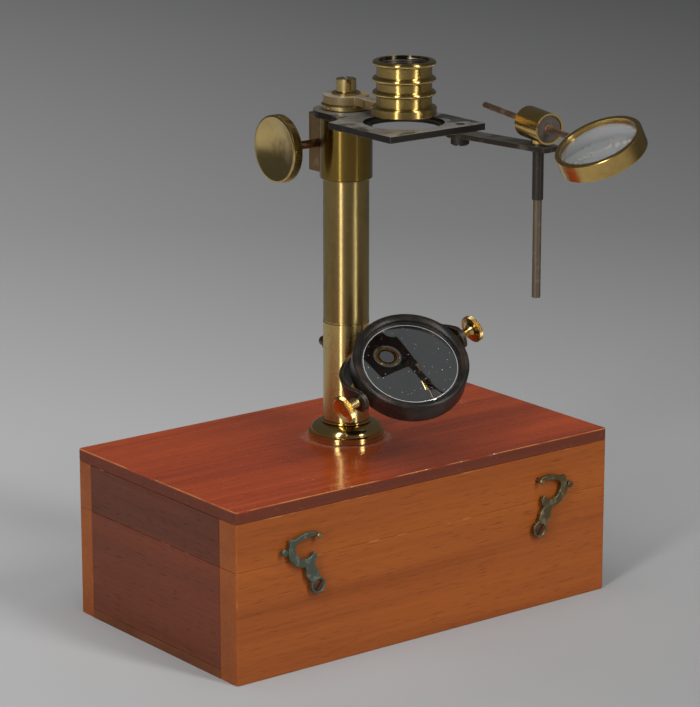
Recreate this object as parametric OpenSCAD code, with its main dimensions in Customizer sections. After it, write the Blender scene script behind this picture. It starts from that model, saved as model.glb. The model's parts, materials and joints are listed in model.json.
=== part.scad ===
// Brass microscope stand on its mahogany case, about 1840 to 1870.
// The pillar screws into the middle of the lid and carries a fixed stage, a rack
// focused lens arm with a ribbed ring, a round mirror in a fork and a bull's-eye
// condenser on a swinging arm. The case holds the stand when it is taken down.
// Frame: X along the case, Y to its back, Z up, origin under the middle of the case.

/* [Case] */
// Length of the case, left to right
case_l = 180; // [160:1:220]
// Depth of the case, front to back
case_w = 104; // [98:1:130]
// Height of the lower box, up to the split
case_h = 43.4; // [38:0.1:60]
// Height of the lid, with its top board
lid_h = 23.3; // [18:0.1:34]
// Thickness of the front boards
front_t = 10.6; // [7:0.1:13]
// Thickness of the back boards
back_t = 8.4; // [7:0.1:12]
// Thickness of the end boards
end_t = 8; // [5:0.1:12]
// Thickness of the lid's top board
top_t = 4.8; // [3.5:0.1:8]
// Thickness of the bottom board
bottom_t = 3.6; // [2.5:0.1:6]
// Worn radius of the four upright corners
corner_r = 1.2; // [0.4:0.1:3]

/* [Hinges] */
// Distance of each hinge from the middle of the case
hinge_x = 54; // [35:1:62]
// Length of a hinge
hinge_l = 25; // [18:1:32]
// Reach of a leaf over the edge of the board
leaf_w = 6.4; // [4.5:0.1:6.8]
// Thickness of a leaf
leaf_t = 0.8; // [0.5:0.1:1.2]
// Outside radius of the hinge knuckles
knuckle_r = 1.8; // [1.5:0.1:2.4]
// Radius of the hinge pin
hinge_pin_r = 0.85; // [0.6:0.05:1]

/* [Hooks] */
// Distance of each hook from the middle of the case
hook_x = 54.2; // [40:0.1:68]
// Height of a hook's pivot above the base
hook_z = 32.4; // [26:0.1:34]
// Height of the catch stud above the pivot
hook_rise = 19.5; // [19:0.1:20.4]
// Thickness of the hook plate
hook_t = 1.6; // [1:0.1:2]
// Outward swing of the hooks in the photographed state
hook_swing = 27; // [26:0.5:60]
// Radius of a catch stud
stud_r = 1.1; // [0.8:0.1:1.2]

/* [Pillar] */
// Place of the pillar along the case, from the middle
pillar_x = 2; // [-10:0.5:10]
// Place of the pillar front to back, from the middle
pillar_y = 2; // [-4:0.5:6]
// Radius of the moulded foot
foot_r = 14.8; // [13:0.1:18]
// Height of the moulded foot
foot_h = 7.6; // [6.5:0.1:10]
// Radius of the polished lower pillar
lower_r = 8.95; // [8.7:0.05:10]
// Height of the joint between lower pillar and tube, above the lid
joint_rise = 47.4; // [44:0.1:60]
// Radius of the engraved tube
tube_r = 8.85; // [8.5:0.05:9.6]
// Wall of the engraved tube
tube_wall = 0.9; // [0.6:0.05:1]
// Height of the sleeve's lower edge above the lid
sleeve_rise = 103.1; // [96:0.1:108]
// Outside radius of the sleeve
sleeve_r = 10.15; // [9.9:0.05:11.5]
// Height of the stage's underside above the lid
stage_rise = 127.2; // [124:0.1:134]

/* [Stage] */
// Width of the stage, left to right
stage_w = 45; // [40:0.5:56]
// Depth of the stage's square part
stage_d = 37; // [35:0.5:44]
// Gap between the pillar's axis and the square part
stage_back = 18.4; // [17:0.1:20]
// Thickness of the stage
stage_t = 2.6; // [2:0.1:4]
// Radius of the lobe round the pillar
lobe_r = 12.6; // [11.5:0.1:14]
// Distance of the optical axis in front of the pillar
optic_y = 35.2; // [34:0.1:38]
// Radius of the recess for a slide or dark well
well_r = 15.2; // [14.4:0.1:16]
// Radius of the hole through the stage
hole_r = 13.7; // [11:0.1:14]
// Depth of the recess
well_d = 1.2; // [0.6:0.1:1.6]

/* [Focus] */
// Radius of the sliding focus post
post_r = 6.5; // [6.2:0.05:6.6]
// Length of the post below the stage
post_l = 46; // [40:1:56]
// Width of the rack
rack_w = 3.5; // [3:0.1:4]
// Module of the rack and pinion teeth
tooth_m = 0.5; // [0.45:0.01:0.52]
// Teeth on the pinion
pinion_n = 12; // [12:1:13]
// Pressure angle of the teeth
press_a = 25; // [24:0.5:27]
// Radius of the pinion shaft
shaft_r = 1.6; // [1.2:0.05:1.7]
// Width of the pinion box
box_w = 12; // [10:0.1:15]
// Height of the pinion box
box_h = 22.6; // [18:0.1:23]
// Distance of the knob's face from the pillar's axis
knob_reach = 26; // [20:0.1:32]
// Radius of the focus knob
knob_r = 13.3; // [10:0.1:15]
// Thickness of the knob's rim
knob_t = 2.6; // [2.2:0.1:4]

/* [Lens arm] */
// Radius of the collar on the post
collar_r = 9.6; // [9:0.1:11]
// Thickness of the collar
collar_t = 2.3; // [1.6:0.1:3]
// Radius of the arm's boss
boss_r = 8.8; // [8:0.1:10]
// Thickness of the arm
arm_t = 3.2; // [2.6:0.1:4]
// Radius of the washer
washer_r = 5.6; // [5:0.1:7]
// Radius of the clamp screw's head
clamp_r = 3.9; // [3:0.1:4.6]
// Height of the clamp screw's head
clamp_h = 4; // [3:0.1:5]
// Radius of the ribbed ring's ribs
rib_r = 12; // [11.6:0.1:12.6]
// Radius of the ring's body between its ribs
ring_r = 10.5; // [10.1:0.1:11]
// Radius of the threaded bore that takes the body tube
bore_r = 9.3; // [8.5:0.1:9.6]
// Height of the ribbed ring
ring_h = 20.4; // [18:0.1:24]
// Thickness of a rib
rib_t = 1.7; // [1.2:0.1:2.2]

/* [Mirror] */
// Height of the mirror's axis above the lid
mirror_rise = 35.5; // [34:0.1:40]
// Outside radius of the mirror's dish
dish_r = 22.3; // [19:0.1:23]
// Depth of the dish, rim to back
dish_d = 11; // [9.5:0.1:12]
// Height of the dish's rim above the mirror's axis
rim_up = 5.9; // [5:0.1:6.4]
// Radius of the mirror glass
mirror_r = 19.4; // [16:0.1:19.8]
// Gap between the dish and the fork
fork_gap = 2.4; // [1.6:0.1:3]
// Thickness of the fork's strap
fork_t = 1.6; // [1.2:0.1:2.2]
// Width of the fork's strap
fork_w = 9; // [7:0.1:11]
// Gap between the fork and the pillar
stub_gap = 3.75; // [3:0.05:5]
// Roll of the fork in the photographed state
fork_roll = 19; // [0:0.5:30]
// Tilt of the mirror in the photographed state
mirror_tilt = 34; // [0:0.5:60]
// Radius of a thumbscrew's head
thumb_r = 5.4; // [4.5:0.1:6.5]

/* [Condenser] */
// Length of the swinging arm, pivot to socket
swing_l = 37.8; // [34:0.1:46]
// Angle of the swinging arm away from straight ahead
swing_a = 9; // [0:0.5:30]
// Width of the swinging arm
swing_w = 8.4; // [7:0.1:10]
// Thickness of the swinging arm
swing_t = 2; // [1.6:0.1:3]
// Radius of the upright rod
rod_r = 1.6; // [1.3:0.05:1.8]
// Length of the upright rod below the arm
rod_drop = 55; // [40:0.5:62]
// Length of the socket under the arm
socket_l = 18.3; // [12:0.1:24]
// Radius of the barrel that grips the lens rod
barrel_r = 5.8; // [5:0.1:7]
// Length of the barrel
barrel_l = 14.4; // [11:0.1:18]
// Height of the barrel's axis above the arm
barrel_rise = 7.1; // [7:0.1:9]
// Heading of the lens rod away from straight ahead
rod_turn = 8.5; // [0:0.5:20]
// Dip of the lens rod
rod_dip = 2.4; // [0:0.1:4]
// Radius of the lens rod
lens_rod_r = 1.15; // [0.9:0.05:1.4]
// Length of the lens rod behind the barrel's middle
rod_tail = 37; // [30:0.5:44]
// Distance of the lens's middle from the barrel's middle
lens_reach = 40.8; // [36:0.1:50]
// Radius of the lens mount
mount_r = 16.2; // [14:0.1:18]
// Depth of the lens mount
mount_d = 7; // [6:0.1:9]
// Roll of the lens about its rod
lens_roll = 26.8; // [0:0.5:60]

/* [Hidden] */
$fn = 96;
// Clearances: running fit on radius, slide fit on radius, gap beside a moving face
run_c = 0.04;
slide_c = 0.05;
side_c = 0.1;
// Gap between a hook and the case, and between neighbouring hinge knuckles
hook_gap = 0.8;
knuckle_gap = 0.15;
// Extra length that carries a cut past a face
eps = 0.5;

// Case levels
lid_z = case_h + lid_h;
hinge_y = case_w / 2 + knuckle_r + 0.3;
hinge_leaf_y = case_w / 2 - leaf_w;
screw_head_r = 1.5;
screw_r = 0.8;
screw_l = 6;
hinge_screw_x = hinge_l / 2 - 4;
hinge_screw_y = case_w / 2 - leaf_w / 2;

// Hook drawing, with its pivot at the origin and the upright hook along +Y
hook_c = hook_rise - 1.4;
hook_or = 6.4;
hook_ir = 4.7;
hook_eye_r = 3;
hook_pin_r = 1.1;
hook_head_r = 2.3;
hook_head_h = 1.3;
hook_y = -case_w / 2 - hook_gap;
stud_head_r = stud_r + 0.5;
stud_l = hook_gap + hook_t + 0.5;
stud_head_t = 1;

// Lid bush and foot thread
bush_r = 8;
bush_flange_r = 13;
bush_flange_t = 2.4;
spigot_r = 6;
bush_screw_pcd = 10.5;

// Pillar levels
joint_z = lid_z + joint_rise;
sleeve_z = lid_z + sleeve_rise;
stage_z = lid_z + stage_rise;
stage_top = stage_z + stage_t;
tube_end = sleeve_z + 7.2;
lower_spigot_l = 8;
sleeve_spigot_r = sleeve_r - 1.6;
sleeve_spigot_h = 1.2;

// Rack, pinion and box
pitch_r = tooth_m * pinion_n / 2;
tip_r = pitch_r + tooth_m;
root_r = pitch_r - 1.25 * tooth_m;
base_r = pitch_r * cos(press_a);
backlash = 0.05;
rack_pitch_y = post_r + 0.5;
shaft_y = rack_pitch_y + pitch_r;
rack_tip_y = rack_pitch_y + tooth_m;
rack_seat_y = post_r - 2.5;
rack_slot_w = rack_w + 2 * side_c;
box_z = stage_z - 0.3 - box_h;
shaft_z = box_z + box_h / 2;
pinion_w = rack_w - 0.2;
cavity_w = pinion_w + 0.8;
cavity_r = tip_r + 0.35;
box_back = shaft_y + cavity_r + 0.5;
cap_t = 1.4;
cap_screw_dz = box_h / 2 - 3;
shaft_end = box_w / 2 - 1.2;
dish_bend = 50;
knob_hub_r = 4;
knob_hub_l = 2.4;
knurl_depth = 0.35;

// Lens arm levels
collar_z = stage_top + side_c;
collar_top = collar_z + collar_t;
arm_z = collar_top + slide_c;
arm_top = arm_z + arm_t;
journal_r = 4;
journal_top = arm_top + slide_c;
washer_t = 0.9;
clamp_shank_r = 2.2;
clamp_shank_l = 9;
flange_r = rib_r + 0.3;
flange_t = 3.4;
ring_z = arm_z + 0.4;
ring_top = ring_z + ring_h;
rib_pitch = (ring_h - flange_t - rib_t) / 3;
lip_r = bore_r - 1.6;
lip_t = 2.4;
neck_w = 8.4;
hollow_r = 7;
lug_w = 10.4;

// Mirror sizes, in a frame at the mirror's centre with X along its pivots
fork_ir = dish_r + fork_gap;
fork_or = fork_ir + fork_t;
mirror_y = -(lower_r + stub_gap + fork_or);
mirror_z = lid_z + mirror_rise;
stub_r = 1.95;
stub_tail = 6.9;
stub_collar_r = 4.2;
nut_r = 3.3;
nut_t = 2.2;
glass_top = rim_up - 2.5;
glass_t = 2;
bezel_t = 0.8;
bezel_w = 0.7;
bevel_w = 1.1;
bevel_h = 0.45;
pivot_pin_r = 1.1;
pivot_in = 1.5;
thumb_shank_r = 1.7;
neck_r = 2.2;
thumb_x = fork_or + 5.4;
thumb_t = 2.3;

// Condenser places, in the pillar's frame
swing_x = stage_w / 2 - 8.5;
swing_y = -(stage_back + stage_d) + 4.4;
swing_z = stage_z - side_c - swing_t;
swing_top = swing_z + swing_t;
swing_boss_r = 5.4;
swing_end = 6.8;
swing_pin_r = 1.8;
swing_head_r = 3.5;
swing_head_h = 3;
socket_r = rod_r + 0.48;
post_x = swing_x + swing_l * sin(swing_a);
post_y = swing_y - swing_l * cos(swing_a);
barrel_z = swing_top + barrel_rise;
barrel_wall = 0.7;
boss_in = barrel_z - barrel_r + barrel_wall - 0.2;
rod_collar_r = 2.6;
rod_collar_t = 0.5;
rod_collar_z = swing_top + side_c;
bush_wall = 0.7;
cork_in = 0.5;
mount_wall = 1.3;
mount_lip = 0.5;
lens_r = mount_r - mount_wall;
lens_edge = 1.6;
lens_ball = 25;
rod_pin_r = 0.8;
rod_pin_l = 0.9;

// Points along an arc, from angle a0 to angle a1; the second radius makes it elliptic
function arc(c, r, a0, a1, n = 10, ry = 0) = [for (i = [0 : n])
    let (a = a0 + (a1 - a0) * i / n) [c[0] + r * cos(a), c[1] + (ry > 0 ? ry : r) * sin(a)]];

// Angle between a tooth's centre line and its involute flank at radius r
function involute(a) = tan(a) * 180 / PI - a;
function flank(r) = 90 / pinion_n - backlash * 90 / (PI * pitch_r)
    + involute(press_a) - (r > base_r ? involute(acos(base_r / r)) : 0);

// Polar points of a pinion tooth centred on angle a
function tooth(a) = let (rs = [root_r, base_r, base_r + (tip_r - base_r) * 0.35,
        base_r + (tip_r - base_r) * 0.7, tip_r])
    concat(
        [for (i = [0 : 4]) [rs[i] * cos(a - flank(rs[i])), rs[i] * sin(a - flank(rs[i]))]],
        [for (i = [4 : -1 : 0]) [rs[i] * cos(a + flank(rs[i])), rs[i] * sin(a + flank(rs[i]))]]);

module at_pillar() translate([pillar_x, pillar_y, 0]) children();

// Round bar along X, from x0 to x1
module bar_x(r, x0, x1, y = 0, z = 0)
    translate([x0, y, z]) rotate([0, 90, 0]) cylinder(r = r, h = x1 - x0);

// Round bar along Y, from y0 to y1
module bar_y(r, y0, y1, x = 0, z = 0)
    translate([x, y1, z]) rotate([90, 0, 0]) cylinder(r = r, h = y1 - y0);

// Block between two corners
module block(a, b) translate(a) cube(b - a);

// Straight knurled disc, n teeth
module knurl(r, h, n) linear_extrude(h)
    polygon([for (i = [0 : 2 * n - 1])
        let (q = i % 2 == 0 ? r : r - knurl_depth) [q * cos(i * 180 / n), q * sin(i * 180 / n)]]);

// Case and lid

// Outline of the case with its worn corners
module case_outline() {
    square([case_l - 2 * corner_r, case_w], center = true);
    square([case_l, case_w - 2 * corner_r], center = true);
    for (x = [-1, 1], y = [-1, 1])
        translate([x * (case_l / 2 - corner_r), y * (case_w / 2 - corner_r)])
            circle(r = corner_r, $fn = 32);
}

// Front or back board of a box between two heights
module long_board(z0, z1, front) intersection() {
    translate([0, 0, z0]) linear_extrude(z1 - z0) case_outline();
    if (front)
        block([-case_l, -case_w, z0 - eps], [case_l, front_t - case_w / 2, z1 + eps]);
    else
        block([-case_l, case_w / 2 - back_t, z0 - eps], [case_l, case_w, z1 + eps]);
}

// End board between the long boards
module end_board(z0, z1, side)
    block([side < 0 ? -case_l / 2 : case_l / 2 - end_t, front_t - case_w / 2, z0],
        [side < 0 ? end_t - case_l / 2 : case_l / 2, case_w / 2 - back_t, z1]);

module case_bottom() color("sienna")
    block([-case_l / 2, front_t - case_w / 2, 0], [case_l / 2, case_w / 2 - back_t, bottom_t]);

module case_front() color("peru") difference() {
    long_board(0, case_h, true);
    for (s = [-1, 1])
        bar_y(hook_pin_r, -case_w / 2 - eps, screw_l - case_w / 2, s * hook_x, hook_z);
}

module case_back() color("peru") difference() {
    long_board(0, case_h, false);
    hinge_recess(-1);
    hinge_holes(-1);
}

module case_left_end() color("sienna") end_board(bottom_t, case_h, -1);
module case_right_end() color("sienna") end_board(bottom_t, case_h, 1);

module lid_front() color("peru") difference() {
    long_board(case_h, lid_z - top_t, true);
    for (s = [-1, 1])
        bar_y(stud_r, -case_w / 2 - eps, screw_l - case_w / 2, s * hook_x, hook_z + hook_rise);
}

module lid_back() color("peru") difference() {
    long_board(case_h, lid_z - top_t, false);
    hinge_recess(1);
    hinge_holes(1);
}

module lid_left_end() color("sienna") end_board(case_h, lid_z - top_t, -1);
module lid_right_end() color("sienna") end_board(case_h, lid_z - top_t, 1);

module lid_top() color("brown") difference() {
    translate([0, 0, lid_z - top_t]) linear_extrude(top_t) case_outline();
    at_pillar() translate([0, 0, lid_z - top_t - eps]) cylinder(r = bush_r, h = top_t + 2 * eps);
    at_pillar() bush_screw_places(screw_r, lid_z - top_t - eps, lid_z - top_t + 2.6);
}

// Hinges: side is -1 for the case's leaf and 1 for the lid's

module hinge_recess(side) for (s = [-1, 1])
    block([s * hinge_x - hinge_l / 2, hinge_leaf_y, side < 0 ? case_h - leaf_t : case_h - eps],
        [s * hinge_x + hinge_l / 2, case_w / 2 + eps, side < 0 ? case_h + eps : case_h + leaf_t]);

module hinge_holes(side) for (s = [-1, 1], t = [-1, 1])
    translate([s * hinge_x + t * hinge_screw_x, hinge_screw_y,
        side < 0 ? case_h - leaf_t - screw_l : case_h + leaf_t - eps])
        cylinder(r = screw_r, h = screw_l + eps, $fn = 32);

// Leaf with its own knuckles: five to a hinge, three on the case and two on the lid
module hinge_leaf(side) {
    knuckle_l = hinge_l / 5;
    leaf_z = side < 0 ? case_h - leaf_t : case_h;
    difference() {
        union() {
            block([-hinge_l / 2, hinge_leaf_y, leaf_z], [hinge_l / 2, case_w / 2, leaf_z + leaf_t]);
            for (i = [0 : 4]) if ((i % 2 == 0) == (side < 0)) {
                x0 = -hinge_l / 2 + i * knuckle_l + (i == 0 ? 0 : knuckle_gap);
                x1 = -hinge_l / 2 + (i + 1) * knuckle_l - (i == 4 ? 0 : knuckle_gap);
                block([x0, case_w / 2 - eps, leaf_z], [x1, hinge_y, leaf_z + leaf_t]);
                bar_x(knuckle_r, x0, x1, hinge_y, case_h);
            }
        }
        bar_x(side < 0 ? hinge_pin_r : hinge_pin_r + run_c, -hinge_l, hinge_l, hinge_y, case_h);
        for (t = [-1, 1])
            translate([t * hinge_screw_x, hinge_screw_y, leaf_z - eps])
                cylinder(r = screw_head_r, h = leaf_t + 2 * eps, $fn = 32);
    }
}

module case_hinge_leaves() color("darkgoldenrod")
    for (s = [-1, 1]) translate([s * hinge_x, 0, 0]) hinge_leaf(-1);

module lid_hinge_leaves() color("darkgoldenrod")
    for (s = [-1, 1]) translate([s * hinge_x, 0, 0]) hinge_leaf(1);

module hinge_pins() color("goldenrod")
    for (s = [-1, 1])
        bar_x(hinge_pin_r, s * hinge_x - hinge_l / 2, s * hinge_x + hinge_l / 2, hinge_y, case_h);

// Countersunk wood screws, flush with the leaf
module hinge_screws(side) for (s = [-1, 1], t = [-1, 1])
    translate([s * hinge_x + t * hinge_screw_x, hinge_screw_y, case_h])
        mirror([0, 0, side < 0 ? 0 : 1]) {
            difference() {
                translate([0, 0, -leaf_t]) cylinder(r = screw_head_r, h = leaf_t, $fn = 32);
                block([-screw_head_r - 1, -0.2, -0.35], [screw_head_r + 1, 0.2, 1]);
            }
            translate([0, 0, -leaf_t - screw_l + eps])
                cylinder(r = screw_r, h = screw_l - eps, $fn = 32);
        }

module case_hinge_screws() color("goldenrod") hinge_screws(-1);
module lid_hinge_screws() color("goldenrod") hinge_screws(1);

// Hooks

// Flat drawing of the left hook: eye, shank, horn, crescent, ornament and tapered tip
module hook_drawing() difference() {
    union() {
        circle(r = hook_eye_r);
        polygon([[-2.2, 1.6], [2.2, 1.6], [1.5, 4.6], [1.25, hook_c - hook_or + 0.9],
            [-1.35, hook_c - hook_or + 0.9], [-1.9, 4.6]]);
        translate([0, 5]) circle(r = 2.1);
        translate([0, hook_c]) difference() {
            circle(r = hook_or);
            translate([0.6, 0.2]) circle(r = hook_ir);
            polygon([[0, 0], [1.5, -3.1], [9, -4.6], [9, 3.1], [3, 4.2]]);
        }
        translate([2.3, hook_c - 4.3]) circle(r = 1.15, $fn = 32);
        translate([-hook_or - 0.2, hook_c + 0.4]) circle(r = 1.25, $fn = 32);
        polygon([[-5.6, hook_c + 2.2], [-6.1, hook_c + 5.2], [-3.3, hook_c + 5]]);
        polygon(concat(arc([0.2, hook_c - 3.4], 9.7, 96, 38, 10),
            arc([0.9, hook_c - 3.2], 8.5, 36, 97, 10)));
        translate([7.75, hook_c + 2.15]) circle(r = 0.62, $fn = 32);
    }
    circle(r = hook_pin_r + run_c);
}

// Hook plate in its photographed swing: side is -1 at the left and 1 at the right
module hook(side) translate([side * hook_x, hook_y, hook_z])
    rotate([0, side * hook_swing, 0]) rotate([90, 0, 0])
        mirror([side < 0 ? 0 : 1, 0, 0]) linear_extrude(hook_t) hook_drawing();

module hook_left() color("darkslategray") hook(-1);
module hook_right() color("olive") hook(1);

// Round-headed pivot screws with a spacing collar behind the hook
module hook_screws() color("darkgoldenrod") for (s = [-1, 1]) translate([s * hook_x, 0, hook_z]) {
    front = hook_y - hook_t - side_c;
    bar_y(hook_pin_r, front - 0.2, screw_l - case_w / 2);
    difference() {
        bar_y(hook_eye_r - 0.4, side_c + hook_y, -case_w / 2);
        bar_y(hook_pin_r - 0.1, hook_y, -case_w / 2 + eps);
    }
    difference() {
        intersection() {
            bar_y(hook_head_r, front - hook_head_h, front);
            translate([0, front - hook_head_h + 3.2, 0]) sphere(r = 3.2);
        }
        block([-hook_head_r - 1, front - hook_head_h - 1, -0.25],
            [hook_head_r + 1, front - hook_head_h + 0.6, 0.25]);
    }
}

module catch_studs() color("darkgoldenrod")
    for (s = [-1, 1]) translate([s * hook_x, 0, hook_z + hook_rise]) {
        bar_y(stud_r, -case_w / 2 - stud_l, screw_l - case_w / 2);
        bar_y(stud_head_r, -case_w / 2 - stud_l - stud_head_t, -case_w / 2 - stud_l);
    }

// Pillar

module bush_screw_places(r, z0, z1) for (a = [90, 210, 330])
    rotate(a) translate([bush_screw_pcd, 0, z0]) cylinder(r = r, h = z1 - z0, $fn = 32);

// Flanged bush under the lid, which the foot screws into
module lid_bush() color("darkgoldenrod") at_pillar() difference() {
    union() {
        translate([0, 0, lid_z - top_t - bush_flange_t]) cylinder(r = bush_flange_r, h = bush_flange_t);
        translate([0, 0, lid_z - top_t]) cylinder(r = bush_r, h = top_t);
    }
    translate([0, 0, lid_z - top_t - bush_flange_t - eps])
        cylinder(r = spigot_r, h = top_t + bush_flange_t + 2 * eps);
    bush_screw_places(screw_head_r, lid_z - top_t - bush_flange_t - eps, lid_z - top_t + eps);
}

module bush_screws() color("goldenrod") at_pillar() {
    bush_screw_places(screw_head_r, lid_z - top_t - bush_flange_t, lid_z - top_t);
    bush_screw_places(screw_r, lid_z - top_t, lid_z - top_t + 2.6);
}

// Turned foot: edge band, quarter-round dome and a bead under the pillar
module pillar_foot() color("gold") at_pillar() {
    band_h = 2.85;
    bead_h = 1;
    dome_in = lower_r + 1.2;
    translate([0, 0, lid_z]) rotate_extrude() polygon(concat(
        [[0, 0], [foot_r - 0.4, 0], [foot_r, 0.4], [foot_r, band_h - 0.35],
            [foot_r - 0.35, band_h]],
        arc([dome_in, band_h + 0.1], foot_r - 0.8 - dome_in, 0, 90, 12, foot_h - band_h - bead_h - 0.3),
        [[lower_r + 0.6, foot_h - bead_h]],
        arc([lower_r + 0.4, foot_h - bead_h / 2], bead_h / 2, -60, 90, 8),
        [[0, foot_h]]));
    translate([0, 0, lid_z - top_t - bush_flange_t - 1])
        cylinder(r = spigot_r, h = top_t + bush_flange_t + 1 + 0.4);
}

// Polished lower pillar, with a spigot up into the tube and a bore for the mirror's stub
module lower_pillar() color("gold") at_pillar() difference() {
    union() {
        translate([0, 0, lid_z + foot_h]) rotate_extrude() polygon([[0, 0], [lower_r, 0],
            [lower_r, joint_rise - foot_h - 0.9], [lower_r - 0.35, joint_rise - foot_h - 0.7],
            [lower_r - 0.35, joint_rise - foot_h - 0.4], [lower_r, joint_rise - foot_h - 0.2],
            [lower_r, joint_rise - foot_h], [0, joint_rise - foot_h]]);
        translate([0, 0, joint_z - 0.1])
            cylinder(r = tube_r - tube_wall, h = lower_spigot_l + 0.1);
    }
    bar_y(stub_r + run_c, -lower_r - 1, lower_r + 1, 0, mirror_z);
}

module main_tube() color("darkgoldenrod") at_pillar() translate([0, 0, joint_z]) difference() {
    cylinder(r = tube_r, h = tube_end - joint_z);
    translate([0, 0, -eps]) cylinder(r = tube_r - tube_wall, h = tube_end - joint_z + 2 * eps);
}

// Way for the post and its rack, as a hole to cut
module post_way(z0, z1) {
    translate([0, 0, z0]) cylinder(r = post_r + slide_c, h = z1 - z0);
    block([-rack_slot_w / 2, 0, z0], [rack_slot_w / 2, rack_tip_y + 0.3, z1]);
}

module pinion_cavity() bar_x(cavity_r, -cavity_w / 2, cavity_w / 2, shaft_y, shaft_z);
module shaft_way() bar_x(shaft_r + run_c, -box_w, shaft_end + 0.2, shaft_y, shaft_z);

// Sleeve over the top of the tube: a seat for the tube below, the post's guide above
module top_sleeve() color("gold") at_pillar() difference() {
    union() {
        translate([0, 0, sleeve_z]) rotate_extrude() polygon([[0, 0], [sleeve_r - 0.3, 0],
            [sleeve_r, 0.3], [sleeve_r, stage_z - sleeve_z], [0, stage_z - sleeve_z]]);
        translate([0, 0, stage_z]) cylinder(r = sleeve_spigot_r, h = sleeve_spigot_h);
    }
    translate([0, 0, sleeve_z - eps]) cylinder(r = tube_r, h = tube_end - sleeve_z + eps);
    post_way(tube_end - eps, stage_z + sleeve_spigot_h + eps);
    pinion_cavity();
    shaft_way();
}

// Box behind the sleeve that carries the pinion, closed by a cap
module pinion_box() color("saddlebrown") at_pillar() difference() {
    block([-box_w / 2, post_r, box_z], [box_w / 2, box_back, box_z + box_h]);
    translate([0, 0, box_z - eps]) cylinder(r = sleeve_r, h = box_h + 2 * eps);
    pinion_cavity();
    shaft_way();
    for (s = [-1, 1])
        bar_y(screw_r, box_back - 1.8, box_back + eps, 0, shaft_z + s * (cap_screw_dz - 0.6));
}

module pinion_cap() color("saddlebrown") at_pillar() difference() {
    block([-box_w / 2, box_back, box_z], [box_w / 2, box_back + cap_t, box_z + box_h]);
    for (s = [-1, 1])
        bar_y(screw_head_r, box_back - eps, box_back + cap_t + eps, 0,
            shaft_z + s * (cap_screw_dz - 0.6));
}

module cap_screws() color("peru") at_pillar() for (s = [-1, 1])
    translate([0, 0, shaft_z + s * (cap_screw_dz - 0.6)]) {
        difference() {
            bar_y(screw_head_r, box_back, box_back + cap_t + 0.3);
            block([-screw_head_r - 1, box_back + cap_t - 0.2, -0.2],
                [screw_head_r + 1, box_back + cap_t + 1, 0.2]);
        }
        bar_y(screw_r, box_back - 1.7, box_back + 0.1);
    }

// Stage

// Outline: square plate, neck with two hollow curves, round lobe
module stage_outline() {
    neck_x = lobe_r + 1.3;
    flare = stage_w / 2 - neck_x;
    translate([-stage_w / 2, -stage_back - stage_d]) square([stage_w, stage_d]);
    circle(r = lobe_r);
    translate([-neck_x, -stage_back - eps]) square([2 * neck_x, stage_back + eps - 9.4]);
    translate([-lobe_r, -9.5]) square([2 * lobe_r, 9.5]);
    for (s = [-1, 1]) difference() {
        translate([s > 0 ? neck_x - eps : -stage_w / 2, -stage_back - eps])
            square([flare + eps, flare + eps]);
        translate([s * stage_w / 2, flare - stage_back]) circle(r = flare);
    }
}

module stage_plate() color("dimgray") at_pillar() difference() {
    translate([0, 0, stage_z]) linear_extrude(stage_t) stage_outline();
    translate([0, -optic_y, stage_z - eps]) cylinder(r = hole_r, h = stage_t + 2 * eps);
    translate([0, -optic_y, stage_top - well_d]) cylinder(r = well_r, h = well_d + eps);
    post_way(stage_z - eps, stage_top + eps);
    translate([0, 0, stage_z - eps]) cylinder(r = sleeve_spigot_r, h = sleeve_spigot_h + eps);
    translate([swing_x, swing_y, stage_z - eps]) cylinder(r = swing_pin_r, h = stage_t + 2 * eps);
}

// Focusing

// Post with the seat of its rack, its journal for the arm and a tapped end
module focus_post() color("goldenrod") at_pillar() difference() {
    union() {
        translate([0, 0, stage_z - post_l]) cylinder(r = post_r, h = collar_top - stage_z + post_l);
        translate([0, 0, collar_top]) cylinder(r = journal_r, h = journal_top - collar_top);
    }
    block([-rack_w / 2, rack_seat_y, stage_z - post_l - eps],
        [rack_w / 2, post_r + eps, stage_top - 0.4]);
    translate([0, 0, journal_top - clamp_shank_l]) cylinder(r = clamp_shank_r, h = clamp_shank_l + eps);
}

// Straight-flanked rack, with a space at the height of the pinion's shaft
module focus_rack() color("goldenrod") at_pillar() {
    pitch = PI * tooth_m;
    low = stage_z - post_l;
    high = stage_top - 0.4;
    half = pitch / 4 - backlash / 2;
    lean = tan(press_a);
    n0 = ceil((low + 0.9 - shaft_z) / pitch - 0.5);
    n1 = floor((high - 0.9 - shaft_z) / pitch - 0.5);
    root_y = rack_pitch_y - 1.25 * tooth_m;
    rotate([90, 0, -90]) translate([0, 0, -rack_w / 2]) linear_extrude(rack_w) polygon(concat(
        [[-rack_seat_y, high], [-rack_seat_y, low], [-root_y, low]],
        [for (i = [n0 : n1]) let (z = shaft_z + (i + 0.5) * pitch)
            each [[-root_y, z - half - 1.25 * tooth_m * lean],
                [-rack_tip_y, z - half + tooth_m * lean],
                [-rack_tip_y, z + half - tooth_m * lean],
                [-root_y, z + half + 1.25 * tooth_m * lean]]],
        [[-root_y, high]]));
}

// Involute pinion, a tooth pointing at the rack
module pinion() color("goldenrod") at_pillar() translate([0, shaft_y, shaft_z]) difference() {
    translate([-pinion_w / 2, 0, 0]) rotate([90, 0, 90]) linear_extrude(pinion_w)
        polygon([for (i = [0 : pinion_n - 1]) each tooth(180 + i * 360 / pinion_n)]);
    bar_x(shaft_r, -pinion_w, pinion_w);
}

module pinion_shaft() color("peru") at_pillar()
    bar_x(shaft_r, -knob_reach + knob_t - 0.6, shaft_end, shaft_y, shaft_z);

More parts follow.
